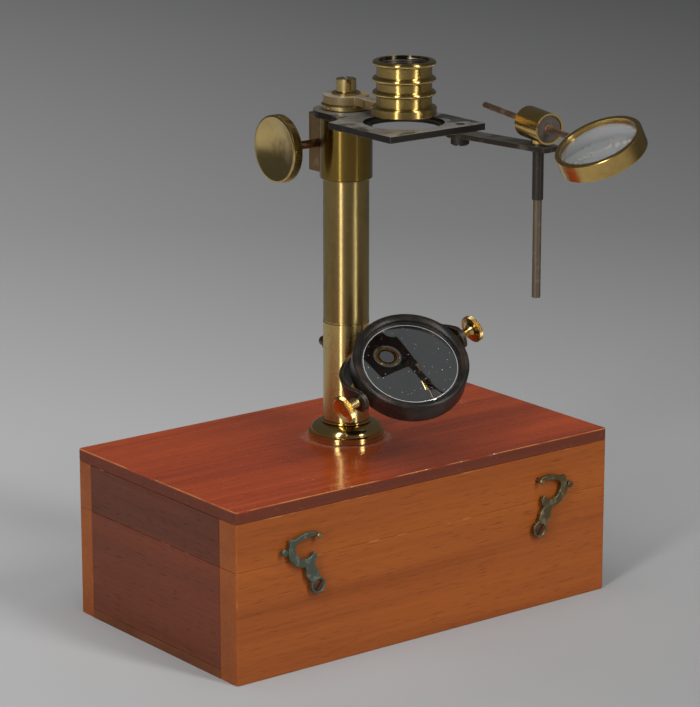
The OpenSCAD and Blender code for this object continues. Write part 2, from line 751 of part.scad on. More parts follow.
// Dished knob: smooth rim in front, straight knurl behind, a hub on the shaft
module focus_knob() color("gold") at_pillar()
    translate([-knob_reach, shaft_y, shaft_z]) rotate([0, 90, 0]) difference() {
        union() {
            rotate_extrude() polygon(concat(
                [[0, 0.5], [0.7, 0.6], [1.1, 1.1]],
                arc([0, -dish_bend + 1.9], dish_bend, 90 - asin(1.8 / dish_bend),
                    90 - asin((knob_r - 1.5) / dish_bend), 8),
                [[knob_r - 1, 0], [knob_r - 0.4, 0], [knob_r, 0.3], [knob_r, 1],
                    [knob_r - knurl_depth - 0.1, 1.2], [knob_r - knurl_depth - 0.1, knob_t],
                    [0, knob_t]]));
            translate([0, 0, 1.15]) knurl(knob_r, knob_t - 1.25, 110);
            translate([0, 0, knob_t - 0.2]) cylinder(r1 = knob_hub_r, r2 = knob_hub_r - 1.2,
                h = knob_hub_l + 0.2);
        }
        translate([0, 0, knob_t - 0.6]) cylinder(r = shaft_r, h = knob_hub_l + 1);
    }

// Lens arm

module post_collar() color("gold") at_pillar() translate([0, 0, collar_z]) difference() {
    rotate_extrude() polygon([[0, 0], [collar_r - 0.3, 0], [collar_r, 0.3],
        [collar_r, collar_t - 0.5], [collar_r - 0.5, collar_t], [0, collar_t]]);
    translate([0, 0, -eps]) cylinder(r = post_r, h = collar_t + 2 * eps);
}

// Arm outline: boss, waist with hollow flanks, lug that takes the ring
module arm_outline() {
    hollow_x = neck_w / 2 + hollow_r;
    hollow_y = -sqrt(pow(boss_r + hollow_r, 2) - hollow_x * hollow_x);
    ring_y = -optic_y + flange_r - 1;
    circle(r = boss_r);
    difference() {
        polygon([[0, 0], [hollow_x, hollow_y], [-hollow_x, hollow_y]]);
        for (s = [-1, 1]) translate([s * hollow_x, hollow_y]) circle(r = hollow_r);
    }
    translate([-neck_w / 2, ring_y]) square([neck_w, hollow_y - ring_y]);
    translate([-lug_w / 2, ring_y - 1]) square([lug_w, 4.4]);
}

module lens_arm() color("tan") at_pillar() difference() {
    translate([0, 0, arm_z]) linear_extrude(arm_t) arm_outline();
    translate([0, 0, arm_z - eps]) cylinder(r = journal_r + run_c, h = arm_t + 2 * eps);
    translate([0, -optic_y, arm_z - eps]) cylinder(r = flange_r, h = arm_t + 2 * eps);
}

module arm_washer() color("gold") at_pillar() translate([0, 0, journal_top]) difference() {
    rotate_extrude() polygon([[0, 0], [washer_r, 0], [washer_r, washer_t - 0.4],
        [washer_r - 0.5, washer_t], [0, washer_t]]);
    translate([0, 0, -eps]) cylinder(r = clamp_shank_r, h = washer_t + 2 * eps);
}

// Cheese-headed clamp screw, a little domed, with its slot askew
module clamp_screw() color("gold") at_pillar() translate([0, 0, journal_top + washer_t]) {
    difference() {
        rotate_extrude() polygon(concat([[0, 0], [clamp_r, 0], [clamp_r, clamp_h - 0.9],
            [clamp_r - 0.25, clamp_h - 0.5]], arc([0, clamp_h - 16], 16, 90 - asin((clamp_r - 0.4) / 16), 90, 6)));
        rotate(-40) block([-clamp_r - 1, -0.4, clamp_h - 1.3], [clamp_r + 1, 0.4, clamp_h + 1]);
    }
    translate([0, 0, -washer_t - clamp_shank_l]) cylinder(r = clamp_shank_r, h = washer_t + clamp_shank_l + 0.1);
}

// Half outline of one rounded rib centred at height z
function rib(z) = concat([[ring_r, z - rib_t / 2 - 0.45], [ring_r + 0.35, z - rib_t / 2]],
    arc([rib_r - rib_t / 2, z], rib_t / 2, -90, 90, 8),
    [[ring_r + 0.35, z + rib_t / 2], [ring_r, z + rib_t / 2 + 0.45]]);

// Ribbed ring with the threaded seat of the body tube
module body_ring() color("gold") at_pillar() translate([0, -optic_y, ring_z]) rotate_extrude()
    polygon(concat([[lip_r, 0], [flange_r - 0.3, 0], [flange_r, 0.3], [flange_r, flange_t - 0.4],
        [flange_r - 0.4, flange_t]],
        [for (i = [1 : 2]) each rib(flange_t + i * rib_pitch)],
        [[ring_r, ring_h - rib_t - 0.45], [ring_r + 0.35, ring_h - rib_t]],
        arc([rib_r - rib_t / 2, ring_h - rib_t / 2], rib_t / 2, -90, 90, 8),
        [[bore_r, ring_h], [bore_r, lip_t], [lip_r, lip_t]]));

// Mirror

module at_mirror() at_pillar() translate([0, mirror_y, mirror_z]) rotate([0, -fork_roll, 0]) children();
module tilted() at_mirror() rotate([mirror_tilt, 0, 0]) children();

// Half-round strap with rounded ends, bored for the thumbscrews and the stub
module mirror_fork() color("black") at_mirror() difference() {
    intersection() {
        translate([0, 0, -fork_w / 2]) difference() {
            cylinder(r = fork_or, h = fork_w);
            translate([0, 0, -eps]) cylinder(r = fork_ir, h = fork_w + 2 * eps);
        }
        union() {
            block([-fork_or - 1, 0, -fork_w], [fork_or + 1, fork_or + 1, fork_w]);
            bar_x(fork_w / 2, -fork_or - 1, fork_or + 1);
        }
    }
    bar_x(thumb_shank_r + run_c, -fork_or - 1, fork_or + 1);
    bar_y(stub_r, fork_ir - 2, fork_or + 2);
}

// Stub through the lower pillar, with a shoulder against it and a rounded tail
module fork_stub() color("saddlebrown") at_mirror() {
    near = fork_or + 0.1;
    face = -mirror_y - lower_r;
    tail = -mirror_y + lower_r + stub_tail;
    difference() {
        bar_y(stub_collar_r, near - 0.5, face - 0.2);
        cylinder(r = fork_or, h = 20, center = true);
    }
    bar_y(stub_r, fork_ir + 0.1, tail - 1);
    translate([0, tail - 1, 0]) rotate([-90, 0, 0]) rotate_extrude()
        polygon([[0, 0], [stub_r, 0], [stub_r - 0.25, 0.55], [stub_r - 0.9, 0.9], [0, 1]]);
}

module stub_nut() color("goldenrod") at_mirror() difference() {
    bar_y(nut_r, -mirror_y + lower_r + 0.2, -mirror_y + lower_r + 0.2 + nut_t);
    bar_y(stub_r, -mirror_y + lower_r - 1, -mirror_y + lower_r + nut_t + 1);
}

// Turned dish: flat rim with a step down to the glass, rounded back edge
module mirror_dish() color("black") tilted() difference() {
    rotate_extrude() polygon(concat(
        [[0, rim_up - dish_d]],
        arc([dish_r - 2.8, rim_up - dish_d + 2.8], 2.8, -90, 0, 8),
        [[dish_r, rim_up - 0.8], [dish_r - 0.5, rim_up - 0.15], [dish_r - 0.9, rim_up],
            [mirror_r + 1.1, rim_up], [mirror_r + 0.6, rim_up - 0.6], [mirror_r, rim_up - 0.9],
            [mirror_r, glass_top - glass_t], [mirror_r - 1.6, glass_top - glass_t],
            [mirror_r - 1.6, glass_top - glass_t - 0.8], [0, glass_top - glass_t - 0.8]]));
    for (s = [-1, 1])
        bar_x(pivot_pin_r + run_c, s > 0 ? dish_r - pivot_in - 0.3 : -dish_r - 1,
            s > 0 ? dish_r + 1 : -dish_r + pivot_in + 0.3);
}

module mirror_glass() color("silver") tilted() rotate_extrude()
    polygon([[0, glass_top - glass_t], [mirror_r, glass_top - glass_t],
        [mirror_r, glass_top - bevel_h], [mirror_r - bevel_w, glass_top], [0, glass_top]]);

// Thin ring that holds the glass down on its bevel
module mirror_bezel() color("black") tilted() rotate_extrude()
    polygon([[mirror_r - bezel_w, glass_top - bevel_h * (1 - bezel_w / bevel_w)],
        [mirror_r, glass_top - bevel_h], [mirror_r, glass_top + bezel_t],
        [mirror_r - bezel_w / 2, glass_top + bezel_t], [mirror_r - bezel_w, glass_top + 0.3]]);

// Thumbscrew along +X from the mirror's centre: pin, shank, neck, knurled head
module thumbscrew() {
    rotate([0, 90, 0]) rotate_extrude() polygon([[0, dish_r - pivot_in],
        [pivot_pin_r - 0.3, dish_r - pivot_in], [pivot_pin_r, dish_r - pivot_in + 0.3],
        [pivot_pin_r, dish_r + 0.5], [thumb_shank_r, dish_r + 0.9], [thumb_shank_r, fork_or + 0.2],
        [neck_r, fork_or + 0.2], [neck_r, fork_or + 0.9], [neck_r - 0.5, thumb_x - 1.6],
        [neck_r + 0.3, thumb_x - 0.4], [neck_r + 1.4, thumb_x], [thumb_r - 0.4, thumb_x + 0.2],
        [thumb_r - 0.4, thumb_x + thumb_t - 0.3], [thumb_r - 0.8, thumb_x + thumb_t],
        [thumb_r - 1.2, thumb_x + thumb_t - 0.2], [thumb_r - 2.4, thumb_x + thumb_t - 0.7],
        [0, thumb_x + thumb_t - 0.9]]);
    translate([thumb_x + 0.3, 0, 0]) rotate([0, 90, 0]) difference() {
        knurl(thumb_r, thumb_t - 0.7, 48);
        translate([0, 0, -eps]) cylinder(r = thumb_r - 1, h = thumb_t + 1);
    }
}

module thumbscrew_right() color("gold") at_mirror() thumbscrew();
module thumbscrew_left() color("gold") at_mirror() rotate([0, 0, 180]) thumbscrew();

// Condenser

module at_swing() at_pillar() translate([swing_x, swing_y, 0]) rotate(swing_a) children();

// Flat arm under the stage, round at its pivot and square at the socket
module swing_arm() color("dimgray") at_swing() difference() {
    translate([0, 0, swing_z]) linear_extrude(swing_t) {
        corner = 2;
        end_y = -swing_l - swing_end;
        circle(r = swing_boss_r);
        polygon([[-swing_w / 2 + 0.3, 0], [-swing_w / 2, end_y + corner],
            [swing_w / 2, end_y + corner], [swing_w / 2 - 0.3, 0]]);
        translate([-swing_w / 2 + corner, end_y]) square([swing_w - 2 * corner, corner + eps]);
        for (s = [-1, 1])
            translate([s * (swing_w / 2 - corner), end_y + corner]) circle(r = corner, $fn = 48);
    }
    translate([0, 0, swing_z - eps]) cylinder(r = swing_pin_r + run_c, h = swing_t + 2 * eps);
    translate([0, -swing_l, swing_z - eps]) cylinder(r = rod_r + slide_c, h = swing_t + 2 * eps);
}

module swing_screw() color("dimgray") at_swing() translate([0, 0, swing_z - side_c]) {
    difference() {
        translate([0, 0, -swing_head_h]) rotate_extrude() polygon([[0, 0], [swing_head_r - 0.5, 0],
            [swing_head_r, 0.5], [swing_head_r, swing_head_h], [0, swing_head_h]]);
        rotate(30) block([-swing_head_r - 1, -0.4, -swing_head_h - 1],
            [swing_head_r + 1, 0.4, 0.9 - swing_head_h]);
    }
    translate([0, 0, -0.1]) cylinder(r = swing_pin_r, h = stage_top - swing_z + side_c + 0.1);
}

module rod_socket() color("dimgray") at_swing()
    translate([0, -swing_l, swing_z - socket_l]) difference() {
        cylinder(r = socket_r, h = socket_l);
        translate([0, 0, -eps]) cylinder(r = rod_r + slide_c, h = socket_l + 2 * eps);
    }

module at_post() at_pillar() translate([post_x, post_y, 0]) children();

// Upright rod with a small collar that rests on the arm
module upright_rod() color("sienna") at_post() {
    translate([0, 0, swing_z - rod_drop]) cylinder(r = rod_r, h = boss_in - swing_z + rod_drop - 0.1);
    translate([0, 0, rod_collar_z]) cylinder(r = rod_collar_r, h = rod_collar_t);
}

// Frame of the lens rod: origin at the barrel's middle, -Y along the rod to the lens
module along_rod() at_post() translate([0, 0, barrel_z]) rotate(-rod_turn)
    rotate([rod_dip, 0, 0]) children();

module rod_barrel() color("gold") difference() {
    union() {
        along_rod() bar_y(barrel_r, -barrel_l / 2, barrel_l / 2);
        at_post() translate([0, 0, rod_collar_z + rod_collar_t + side_c])
            cylinder(r = rod_collar_r, h = barrel_rise - 4);
    }
    along_rod() bar_y(barrel_r - barrel_wall, -barrel_l, barrel_l);
    at_post() translate([0, 0, swing_top]) cylinder(r = rod_r + run_c, h = boss_in - swing_top);
}

module barrel_cork() color("darkslategray") along_rod() difference() {
    bar_y(barrel_r - barrel_wall, cork_in - barrel_l / 2, barrel_l / 2 - cork_in);
    bar_y(lens_rod_r + slide_c + bush_wall, -barrel_l, barrel_l);
}

module barrel_bush() color("chocolate") along_rod() difference() {
    bar_y(lens_rod_r + slide_c + bush_wall, 0.2 - barrel_l / 2, barrel_l / 2 - 0.2);
    bar_y(lens_rod_r + slide_c, -barrel_l, barrel_l);
}

module lens_rod() color("sienna") along_rod() {
    bar_y(lens_rod_r, -lens_reach + mount_r + 0.2, rod_tail);
    bar_y(rod_pin_r, -lens_reach + mount_r - rod_pin_l, -lens_reach + mount_r + 0.3);
}

module at_lens() along_rod() translate([0, -lens_reach, 0]) rotate([0, -lens_roll, 0]) children();

// Deep ring with a lip over the lens, bored for the rod's pin
module lens_mount() color("gold") at_lens() difference() {
    rotate_extrude() polygon([[lens_r, -mount_d / 2], [mount_r - 0.3, -mount_d / 2],
        [mount_r, 0.3 - mount_d / 2], [mount_r, mount_d / 2 - 0.4], [mount_r - 0.3, mount_d / 2 - 0.1],
        [mount_r - 0.7, mount_d / 2], [lens_r - mount_lip, mount_d / 2 - 0.15],
        [lens_r - mount_lip, mount_d / 2 - 0.6], [lens_r, mount_d / 2 - 0.6]]);
    bar_y(rod_pin_r + run_c, mount_r - rod_pin_l - 0.1, mount_r + 1);
}

// Plano-convex lens, its curved face up under the lip
module bulls_eye() color("lightcyan") at_lens() {
    edge_z = mount_d / 2 - 0.6;
    rise = lens_ball - sqrt(lens_ball * lens_ball - (lens_r - mount_lip) * (lens_r - mount_lip));
    rotate_extrude() polygon(concat([[0, edge_z - lens_edge - 2.4], [lens_r, edge_z - lens_edge - 2.4],
        [lens_r, edge_z - 1.6], [lens_r - mount_lip, edge_z - 1.6]],
        [for (i = [1 : 12]) let (a = (1 - i / 12) * asin((lens_r - mount_lip) / lens_ball))
            [lens_ball * sin(a), edge_z - 1.6 + rise - lens_ball * (1 - cos(a))]]));
}

module lens_ring() color("gold") at_lens() rotate_extrude()
    polygon([[lens_r - 0.9, -mount_d / 2 + 0.3], [lens_r, -mount_d / 2 + 0.3],
        [lens_r, -mount_d / 2 + 1.5], [lens_r - 0.9, -mount_d / 2 + 1.5]]);

case_bottom();
case_front();
case_back();
case_left_end();
case_right_end();
lid_top();
lid_front();
lid_back();
lid_left_end();
lid_right_end();
case_hinge_leaves();
lid_hinge_leaves();
hinge_pins();
case_hinge_screws();
lid_hinge_screws();
hook_left();
hook_right();
hook_screws();
catch_studs();
lid_bush();
bush_screws();
pillar_foot();
lower_pillar();
main_tube();
top_sleeve();
pinion_box();
pinion_cap();
cap_screws();
stage_plate();
focus_post();
focus_rack();
post_collar();
arm_washer();
clamp_screw();
lens_arm();
body_ring();
pinion();
pinion_shaft();
focus_knob();
mirror_fork();
fork_stub();
stub_nut();
mirror_dish();
mirror_glass();
mirror_bezel();
thumbscrew_right();
thumbscrew_left();
swing_arm();
swing_screw();
rod_socket();
upright_rod();
rod_barrel();
barrel_cork();
barrel_bush();
lens_rod();
lens_mount();
bulls_eye();
lens_ring();
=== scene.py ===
"""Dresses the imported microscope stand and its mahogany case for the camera.

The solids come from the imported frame. This script gives each of them its finish and
eases their edges. It makes the hooks, studs, knob, clamp, arm and ring anew, cuts the
thread and milling that the solids leave out, and sets up a plain studio with the camera
where the photographer stood.
"""

import json
import logging
import math
from dataclasses import dataclass, field, replace
from enum import Enum
from typing import Callable, Optional, Union

import bmesh
import bpy
from mathutils import Matrix, Vector, geometry

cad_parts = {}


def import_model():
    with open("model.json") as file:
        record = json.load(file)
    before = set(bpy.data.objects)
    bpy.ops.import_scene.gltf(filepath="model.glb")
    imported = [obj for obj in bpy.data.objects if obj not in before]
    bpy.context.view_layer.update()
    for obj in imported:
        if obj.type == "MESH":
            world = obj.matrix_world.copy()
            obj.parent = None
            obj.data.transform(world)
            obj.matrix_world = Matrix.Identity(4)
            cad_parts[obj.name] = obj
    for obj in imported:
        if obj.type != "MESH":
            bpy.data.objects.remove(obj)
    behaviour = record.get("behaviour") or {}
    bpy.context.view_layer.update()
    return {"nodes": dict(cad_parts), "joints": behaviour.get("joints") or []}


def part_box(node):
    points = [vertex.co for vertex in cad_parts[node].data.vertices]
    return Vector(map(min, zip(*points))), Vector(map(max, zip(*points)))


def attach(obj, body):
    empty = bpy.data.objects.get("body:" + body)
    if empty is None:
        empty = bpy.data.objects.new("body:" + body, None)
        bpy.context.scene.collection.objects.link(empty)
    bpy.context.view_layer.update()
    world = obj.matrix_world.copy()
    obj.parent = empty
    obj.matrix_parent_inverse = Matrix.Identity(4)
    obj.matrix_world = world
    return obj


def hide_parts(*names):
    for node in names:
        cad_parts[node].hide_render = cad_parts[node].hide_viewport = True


LOG = logging.getLogger("microscope")
MM = 0.001
SAME_POINT = 1e-6  # metres between points that count as one
OVERLAP = 0.01  # millimetres that stacked forms share
PILLAR_X = PILLAR_Y = 2 * MM
ORIGIN = (0.0, 0.0, 0.0)
SIDES = ((-1, "left"), (1, "right"))

BMesh = bmesh.types.BMesh
Material = bpy.types.Material
Object = bpy.types.Object
Colour = tuple[float, float, float]
Number = Union[float, "Value"]
Tint = Union[Colour, "Value"]
Point = tuple[float, float]
Outline = list[Point]


class Axis(Enum):
    """Directions that a grain or a turning runs along."""

    X = (1.0, 0.0, 0.0)
    Y = (0.0, 1.0, 0.0)
    Z = (0.0, 0.0, 1.0)


class Body(Enum):
    """Bodies that a new piece can ride on."""

    CASE = "case"
    LID = "lid"
    LENS_HOLDER = "lens_holder"
    FOCUS_CARRIAGE = "focus_carriage"
    PINION_KNOB = "pinion_knob"
    LEFT_HOOK = "left_hook"
    RIGHT_HOOK = "right_hook"


# ---------------------------------------------------------------- shader maths


def _maths(operation: str, swapped: bool = False) -> Callable[["Value", Number], "Value"]:
    """Makes a method that adds one Math node.

    Args:
        operation: the node's operation.
        swapped: whether the other number comes first.

    Returns:
        The method.
    """

    def method(self: "Value", other: Number = 0.0) -> "Value":
        """Adds the node and returns its result."""
        first, second = (other, self) if swapped else (self, other)
        sockets = {0: first, 1: second}
        return self.graph.make("ShaderNodeMath", {"operation": operation}, sockets)

    return method


class Value:
    """One output of a shader node, with Python's operators for its maths."""

    __add__ = __radd__ = _maths("ADD")
    __sub__ = _maths("SUBTRACT")
    __rsub__ = _maths("SUBTRACT", swapped=True)
    __mul__ = __rmul__ = _maths("MULTIPLY")
    __pow__ = _maths("POWER")
    __abs__ = _maths("ABSOLUTE")
    least = _maths("MINIMUM")
    most = _maths("MAXIMUM")

    def __init__(self, graph: "Graph", socket: bpy.types.NodeSocket) -> None:
        """Keeps the socket and the graph it belongs to."""
        self.graph = graph
        self.socket = socket

    def rise(self, low: float, high: float) -> "Value":
        """Soft step from 0 at low to 1 at high.

        Args:
            low: value that gives 0.
            high: value that gives 1; below low, the step falls instead.

        Returns:
            The stepped value.
        """
        return self.graph.make(
            "ShaderNodeMapRange",
            {"interpolation_type": "SMOOTHSTEP"},
            {"Value": self, "From Min": low, "From Max": high},
        )


class Graph:
    """Node tree of one material."""

    def __init__(self, name: str) -> None:
        """Starts an empty material of that name."""
        self.material = bpy.data.materials.new(name)
        self.material.use_nodes = True
        self.tree = self.material.node_tree
        self.tree.nodes.clear()

    def make(
        self,
        kind: str,
        settings: Optional[dict] = None,
        sockets: Optional[dict] = None,
        output: Union[int, str] = 0,
    ) -> Value:
        """Adds a node.

        Args:
            kind: the node's type.
            settings: its settings, set first; "stops" fills a colour ramp.
            sockets: numbers, colours or links for its sockets.
            output: the output that is returned.

        Returns:
            The chosen output.
        """
        node = self.tree.nodes.new(kind)
        for key, setting in (settings or {}).items():
            if key == "stops":
                self._fill_ramp(node.color_ramp, setting)
            else:
                setattr(node, key, setting)
        for key, given in (sockets or {}).items():
            if isinstance(given, Value):
                self.tree.links.new(given.socket, node.inputs[key])
            else:
                node.inputs[key].default_value = given
        return Value(self, node.outputs[output])

    @staticmethod
    def _fill_ramp(ramp: bpy.types.ColorRamp, stops: list) -> None:
        """Sets a colour ramp.

        Args:
            ramp: the ramp.
            stops: its (place, colour) pairs.
        """
        while len(ramp.elements) < len(stops):
            ramp.elements.new(1.0)
        for element, (place, colour) in zip(ramp.elements, stops):
            element.position = place
            element.color = (*colour, 1.0)

    def place(self) -> Value:
        """Point on the piece, in the frame of the part."""
        return self.make("ShaderNodeTexCoord", output="Object")

    def vector(
        self, operation: str, first: Value, second: Union[tuple, Value], output: str = "Vector"
    ) -> Value:
        """Adds one Vector Math node.

        Args:
            operation: the node's operation.
            first: the vector worked on.
            second: the vector it is worked with.
            output: "Vector" or "Value".

        Returns:
            The node's result.
        """
        kind = "ShaderNodeVectorMath"
        return self.make(kind, {"operation": operation}, {0: first, 1: second}, output)

    def along(self, point: Value, direction: Union[tuple, Value]) -> Value:
        """Length of a point along a direction."""
        return self.vector("DOT_PRODUCT", point, direction, "Value")

    def reach(self, arrow: Value) -> Value:
        """Length of a vector."""
        return self.vector("LENGTH", arrow, ORIGIN, "Value")

    def join(self, x: Number, y: Number, z: Number) -> Value:
        """Vector from three numbers."""
        return self.make("ShaderNodeCombineXYZ", None, {0: x, 1: y, 2: z})

    def noise(self, point: Value, scale: float, detail: float = 2.0, warp: float = 0.0) -> Value:
        """Cloudy noise.

        Args:
            point: where it is read.
            scale: its features per metre.
            detail: its finer layers.
            warp: its distortion.

        Returns:
            A number about 0.5.
        """
        return self.make(
            "ShaderNodeTexNoise",
            None,
            {"Vector": point, "Scale": scale, "Detail": detail, "Distortion": warp},
        )

    def mix(self, share: Number, first: Tint, second: Tint) -> Value:
        """Blends two colours.

        Args:
            share: how much of the second shows.
            first: colour at 0.
            second: colour at 1.

        Returns:
            The blended colour.
        """
        ends = [c if isinstance(c, Value) else (*c, 1.0) for c in (first, second)]
        sockets = {0: share, 6: ends[0], 7: ends[1]}
        return self.make("ShaderNodeMix", {"data_type": "RGBA"}, sockets, 2)

    def bump(self, height: Value, distance: float, strength: float = 1.0) -> Value:
        """Normal from a height.

        Args:
            height: height from 0 to 1.
            distance: real height of 1, in metres.
            strength: how much of it shows.

        Returns:
            The normal.
        """
        return self.make(
            "ShaderNodeBump", None, {"Strength": strength, "Distance": distance, "Height": height}
        )

    def worn_edge(self, radius: float) -> Value:
        """Mask of the sharp edges that handling has rubbed.

        Args:
            radius: how far from the edge the rubbing reaches, in metres.

        Returns:
            A number that rises to 1 at an edge.
        """
        soft = self.make("ShaderNodeBevel", {"samples": 4}, {"Radius": radius})
        true = self.make("ShaderNodeNewGeometry", output="True Normal")
        return (1.0 - self.along(soft, true)).rise(0.01, 0.2)

    def painted_crevice_shade(self, reach: float) -> Value:
        """Mask of the grooves and corners that ambient occlusion finds, for painted shade there.

        Args:
            reach: width of the grooves that count, in metres.

        Returns:
            A number that rises to 1 in a groove or corner.
        """
        kind = "ShaderNodeAmbientOcclusion"
        return self.make(kind, {"samples": 8}, {"Distance": reach}, "AO").rise(0.85, 0.3)

    def edge_distance(self, point: Value, low: Vector, high: Vector) -> Value:
        """Distance to the nearest edge of a box, for points on its faces.

        Args:
            point: where it is read.
            low: the box's lowest corner.
            high: its highest corner.

        Returns:
            The distance, in metres.
        """
        gaps = []
        for axis, one, two in zip(Axis, low, high):
            run = self.along(point, axis.value)
            gaps.append((two - one) / 2 - abs(run - (one + two) / 2))
        return gaps[0].least(gaps[1]).most(gaps[0].most(gaps[1]).least(gaps[2]))

    def surface(self, **sockets: object) -> Material:
        """Ends the tree in a Principled shader.

        Args:
            **sockets: its sockets, with _ for a space.

        Returns:
            The finished material.
        """
        named = {key.replace("_", " "): given for key, given in sockets.items()}
        for key in ("Base Color", "Coat Tint", "Specular Tint"):
            if isinstance(named.get(key), tuple):
                named[key] = (*named[key], 1.0)
        shader = self.make("ShaderNodeBsdfPrincipled", None, named)
        end = self.tree.nodes.new("ShaderNodeOutputMaterial")
        self.tree.links.new(shader.socket, end.inputs["Surface"])
        return self.material


# -------------------------------------------------------------------- finishes


@dataclass(frozen=True)
class Mahogany:
    """Varnished mahogany with straight grain, open pores and rubbed edges, whose pale colour is
    partly a painted highlight.
    """

    name: str
    grain: Axis
    pale: Colour
    dark: Colour
    roughness: float
    polish: float
    seed: float = 0.0
    low: Optional[Vector] = None
    high: Optional[Vector] = None
    rubbed_highlight_colour: Colour = (0.55, 0.24, 0.07)

    def figure(self, g: Graph, point: Value) -> tuple[Value, Value]:
        """Colour and pores of the wood.

        Args:
            g: the material's graph.
            point: where it is read.

        Returns:
            The colour, and a mask of the pores.
        """
        squeeze = [1.0 - 0.95 * abs(a) for a in self.grain.value]
        thin = [1.0 - 0.98 * abs(a) for a in self.grain.value]
        moved = g.vector("ADD", point, (self.seed, self.seed * 0.7, self.seed * 1.3))
        long_way = g.vector("MULTIPLY", moved, tuple(squeeze))
        longer = g.vector("MULTIPLY", moved, tuple(thin))
        cloud = g.noise(long_way, 34.0, 3.0, 0.8)
        band = g.noise(longer, 120.0, 3.0, 0.4)
        streak = g.noise(longer, 800.0, 3.0)
        tone = (cloud * 0.5 + band * 0.35 + streak * 0.3 - 0.07).rise(0.25, 0.75)
        colour = g.mix(tone, self.dark, self.pale)
        pores = g.noise(long_way, 2600.0, 1.0).rise(0.58, 0.74)
        pore_colour = tuple(c * 0.5 for c in self.dark)
        return g.mix(pores * 0.55, colour, pore_colour), pores

    def rubbed(self, g: Graph, point: Value) -> Value:
        """Mask of the arrises where the varnish has gone, in broken lengths; their pale colour is
        partly a painted edge highlight.

        Args:
            g: the material's graph.
            point: where it is read.

        Returns:
            The mask.
        """
        gap = g.edge_distance(point, self.low, self.high)
        patch = g.noise(point, 90.0, 5.0)
        return (patch * 0.004 - 0.0021 - gap).rise(-0.0001, 0.0003)

    def build(self) -> Material:
        """Makes the material."""
        g = Graph(self.name)
        point = g.place()
        colour, pores = self.figure(g, point)
        rub = g.noise(point, 120.0, 3.0)
        if self.low is not None:
            # Wear and painted highlight: a faint pale line along the arrises.
            colour = g.mix(self.rubbed(g, point) * 0.4, colour, self.rubbed_highlight_colour)
        return g.surface(
            Base_Color=colour,
            Roughness=(rub - 0.5) * 0.16 + (pores * 0.2 + self.roughness),
            Normal=g.bump(1.0 - pores * 0.8, 0.00003, 0.5),
            Specular_IOR_Level=0.25,
            Coat_Weight=self.polish,
            Coat_Roughness=0.1,
        )


@dataclass(frozen=True)
class LidTop(Mahogany):
    """French polished top: pale at its rubbed edges, partly a painted highlight, scratched, dusty
    round the foot.
    """

    foot: Vector = field(default_factory=Vector)
    foot_r: float = 0.0148
    side_colour: Colour = (0.085, 0.02, 0.008)

    def build(self) -> Material:
        """Makes the material."""
        g = Graph(self.name)
        point = g.place()
        colour, pores = self.figure(g, point)
        patch = g.noise(point, 260.0, 4.0)
        height = g.along(point, Axis.Z.value)
        top = height.rise(self.high.z - 0.0009, self.high.z - 0.0004)
        side = height.rise(self.high.z - 0.0002, self.high.z - 0.0008)
        colour = g.mix(side * 0.8, colour, self.side_colour)
        # Wear and painted highlight: a thin pale line along the top arrises.
        arris = g.edge_distance(point, self.low, self.high).rise(0.00035, 0.0001) * top
        worn = arris * g.noise(point, 60.0, 5.0).rise(0.4, 0.56)
        colour = g.mix(worn * 0.9, colour, self.rubbed_highlight_colour)
        chip = arris * g.noise(point, 420.0, 3.0).rise(0.66, 0.7)
        colour = g.mix(chip, colour, (0.75, 0.7, 0.66))
        around = g.vector("SUBTRACT", point, tuple(self.foot))
        flat = g.vector("MULTIPLY", around, (1.0, 1.0, 0.0))
        reach = g.reach(flat)
        grit = g.noise(point, 2600.0, 2.0)
        ring = (reach + (patch - 0.5) * 0.006).rise(self.foot_r + 0.0042, self.foot_r + 0.0006)
        dust = ring * grit.rise(0.3, 0.75)
        specks = g.noise(point, 1500.0, 0.0).rise(0.79, 0.83)
        scratch = self._scratches(g, point)
        pale = (dust * 0.5).most(specks * 0.5).most(scratch)
        colour = g.mix(pale, colour, (0.5, 0.36, 0.28))
        uneven = (patch - 0.5) * 0.1 + pale * 0.3 + side * 0.3
        return g.surface(
            Base_Color=colour,
            Roughness=uneven + (pores * 0.08 + self.roughness),
            Normal=g.bump(1.0 - pores * 0.5 - scratch, 0.00002, 0.5),
            Coat_Weight=(1.0 - pale.most(side)) * self.polish,
            Specular_IOR_Level=0.35,
            Coat_Roughness=0.12,
        )

    def _scratches(self, g: Graph, point: Value) -> Value:
        """Two small nests of pale scratches, and faint ones all over.

        Args:
            g: the material's graph.
            point: where it is read.

        Returns:
            A mask of the scratches.
        """
        slant, narrow = (0.0, 0.0, 0.6), (1.0, 9.0, 1.0)
        turned = g.make(
            "ShaderNodeMapping", None, {"Vector": point, "Rotation": slant, "Scale": narrow}
        )
        fine = g.noise(turned, 260.0, 2.0, 0.6).rise(0.655, 0.7)
        near = None
        for x, y, size in ((-0.045, -0.036, 0.006), (0.066, 0.012, 0.008), (0.03, 0.036, 0.007)):
            away = g.vector("SUBTRACT", point, (x, y, self.high.z))
            nest = g.reach(away).rise(size, size * 0.3)
            near = nest if near is None else near.most(nest)
        return fine * (near * 0.75 + 0.05)


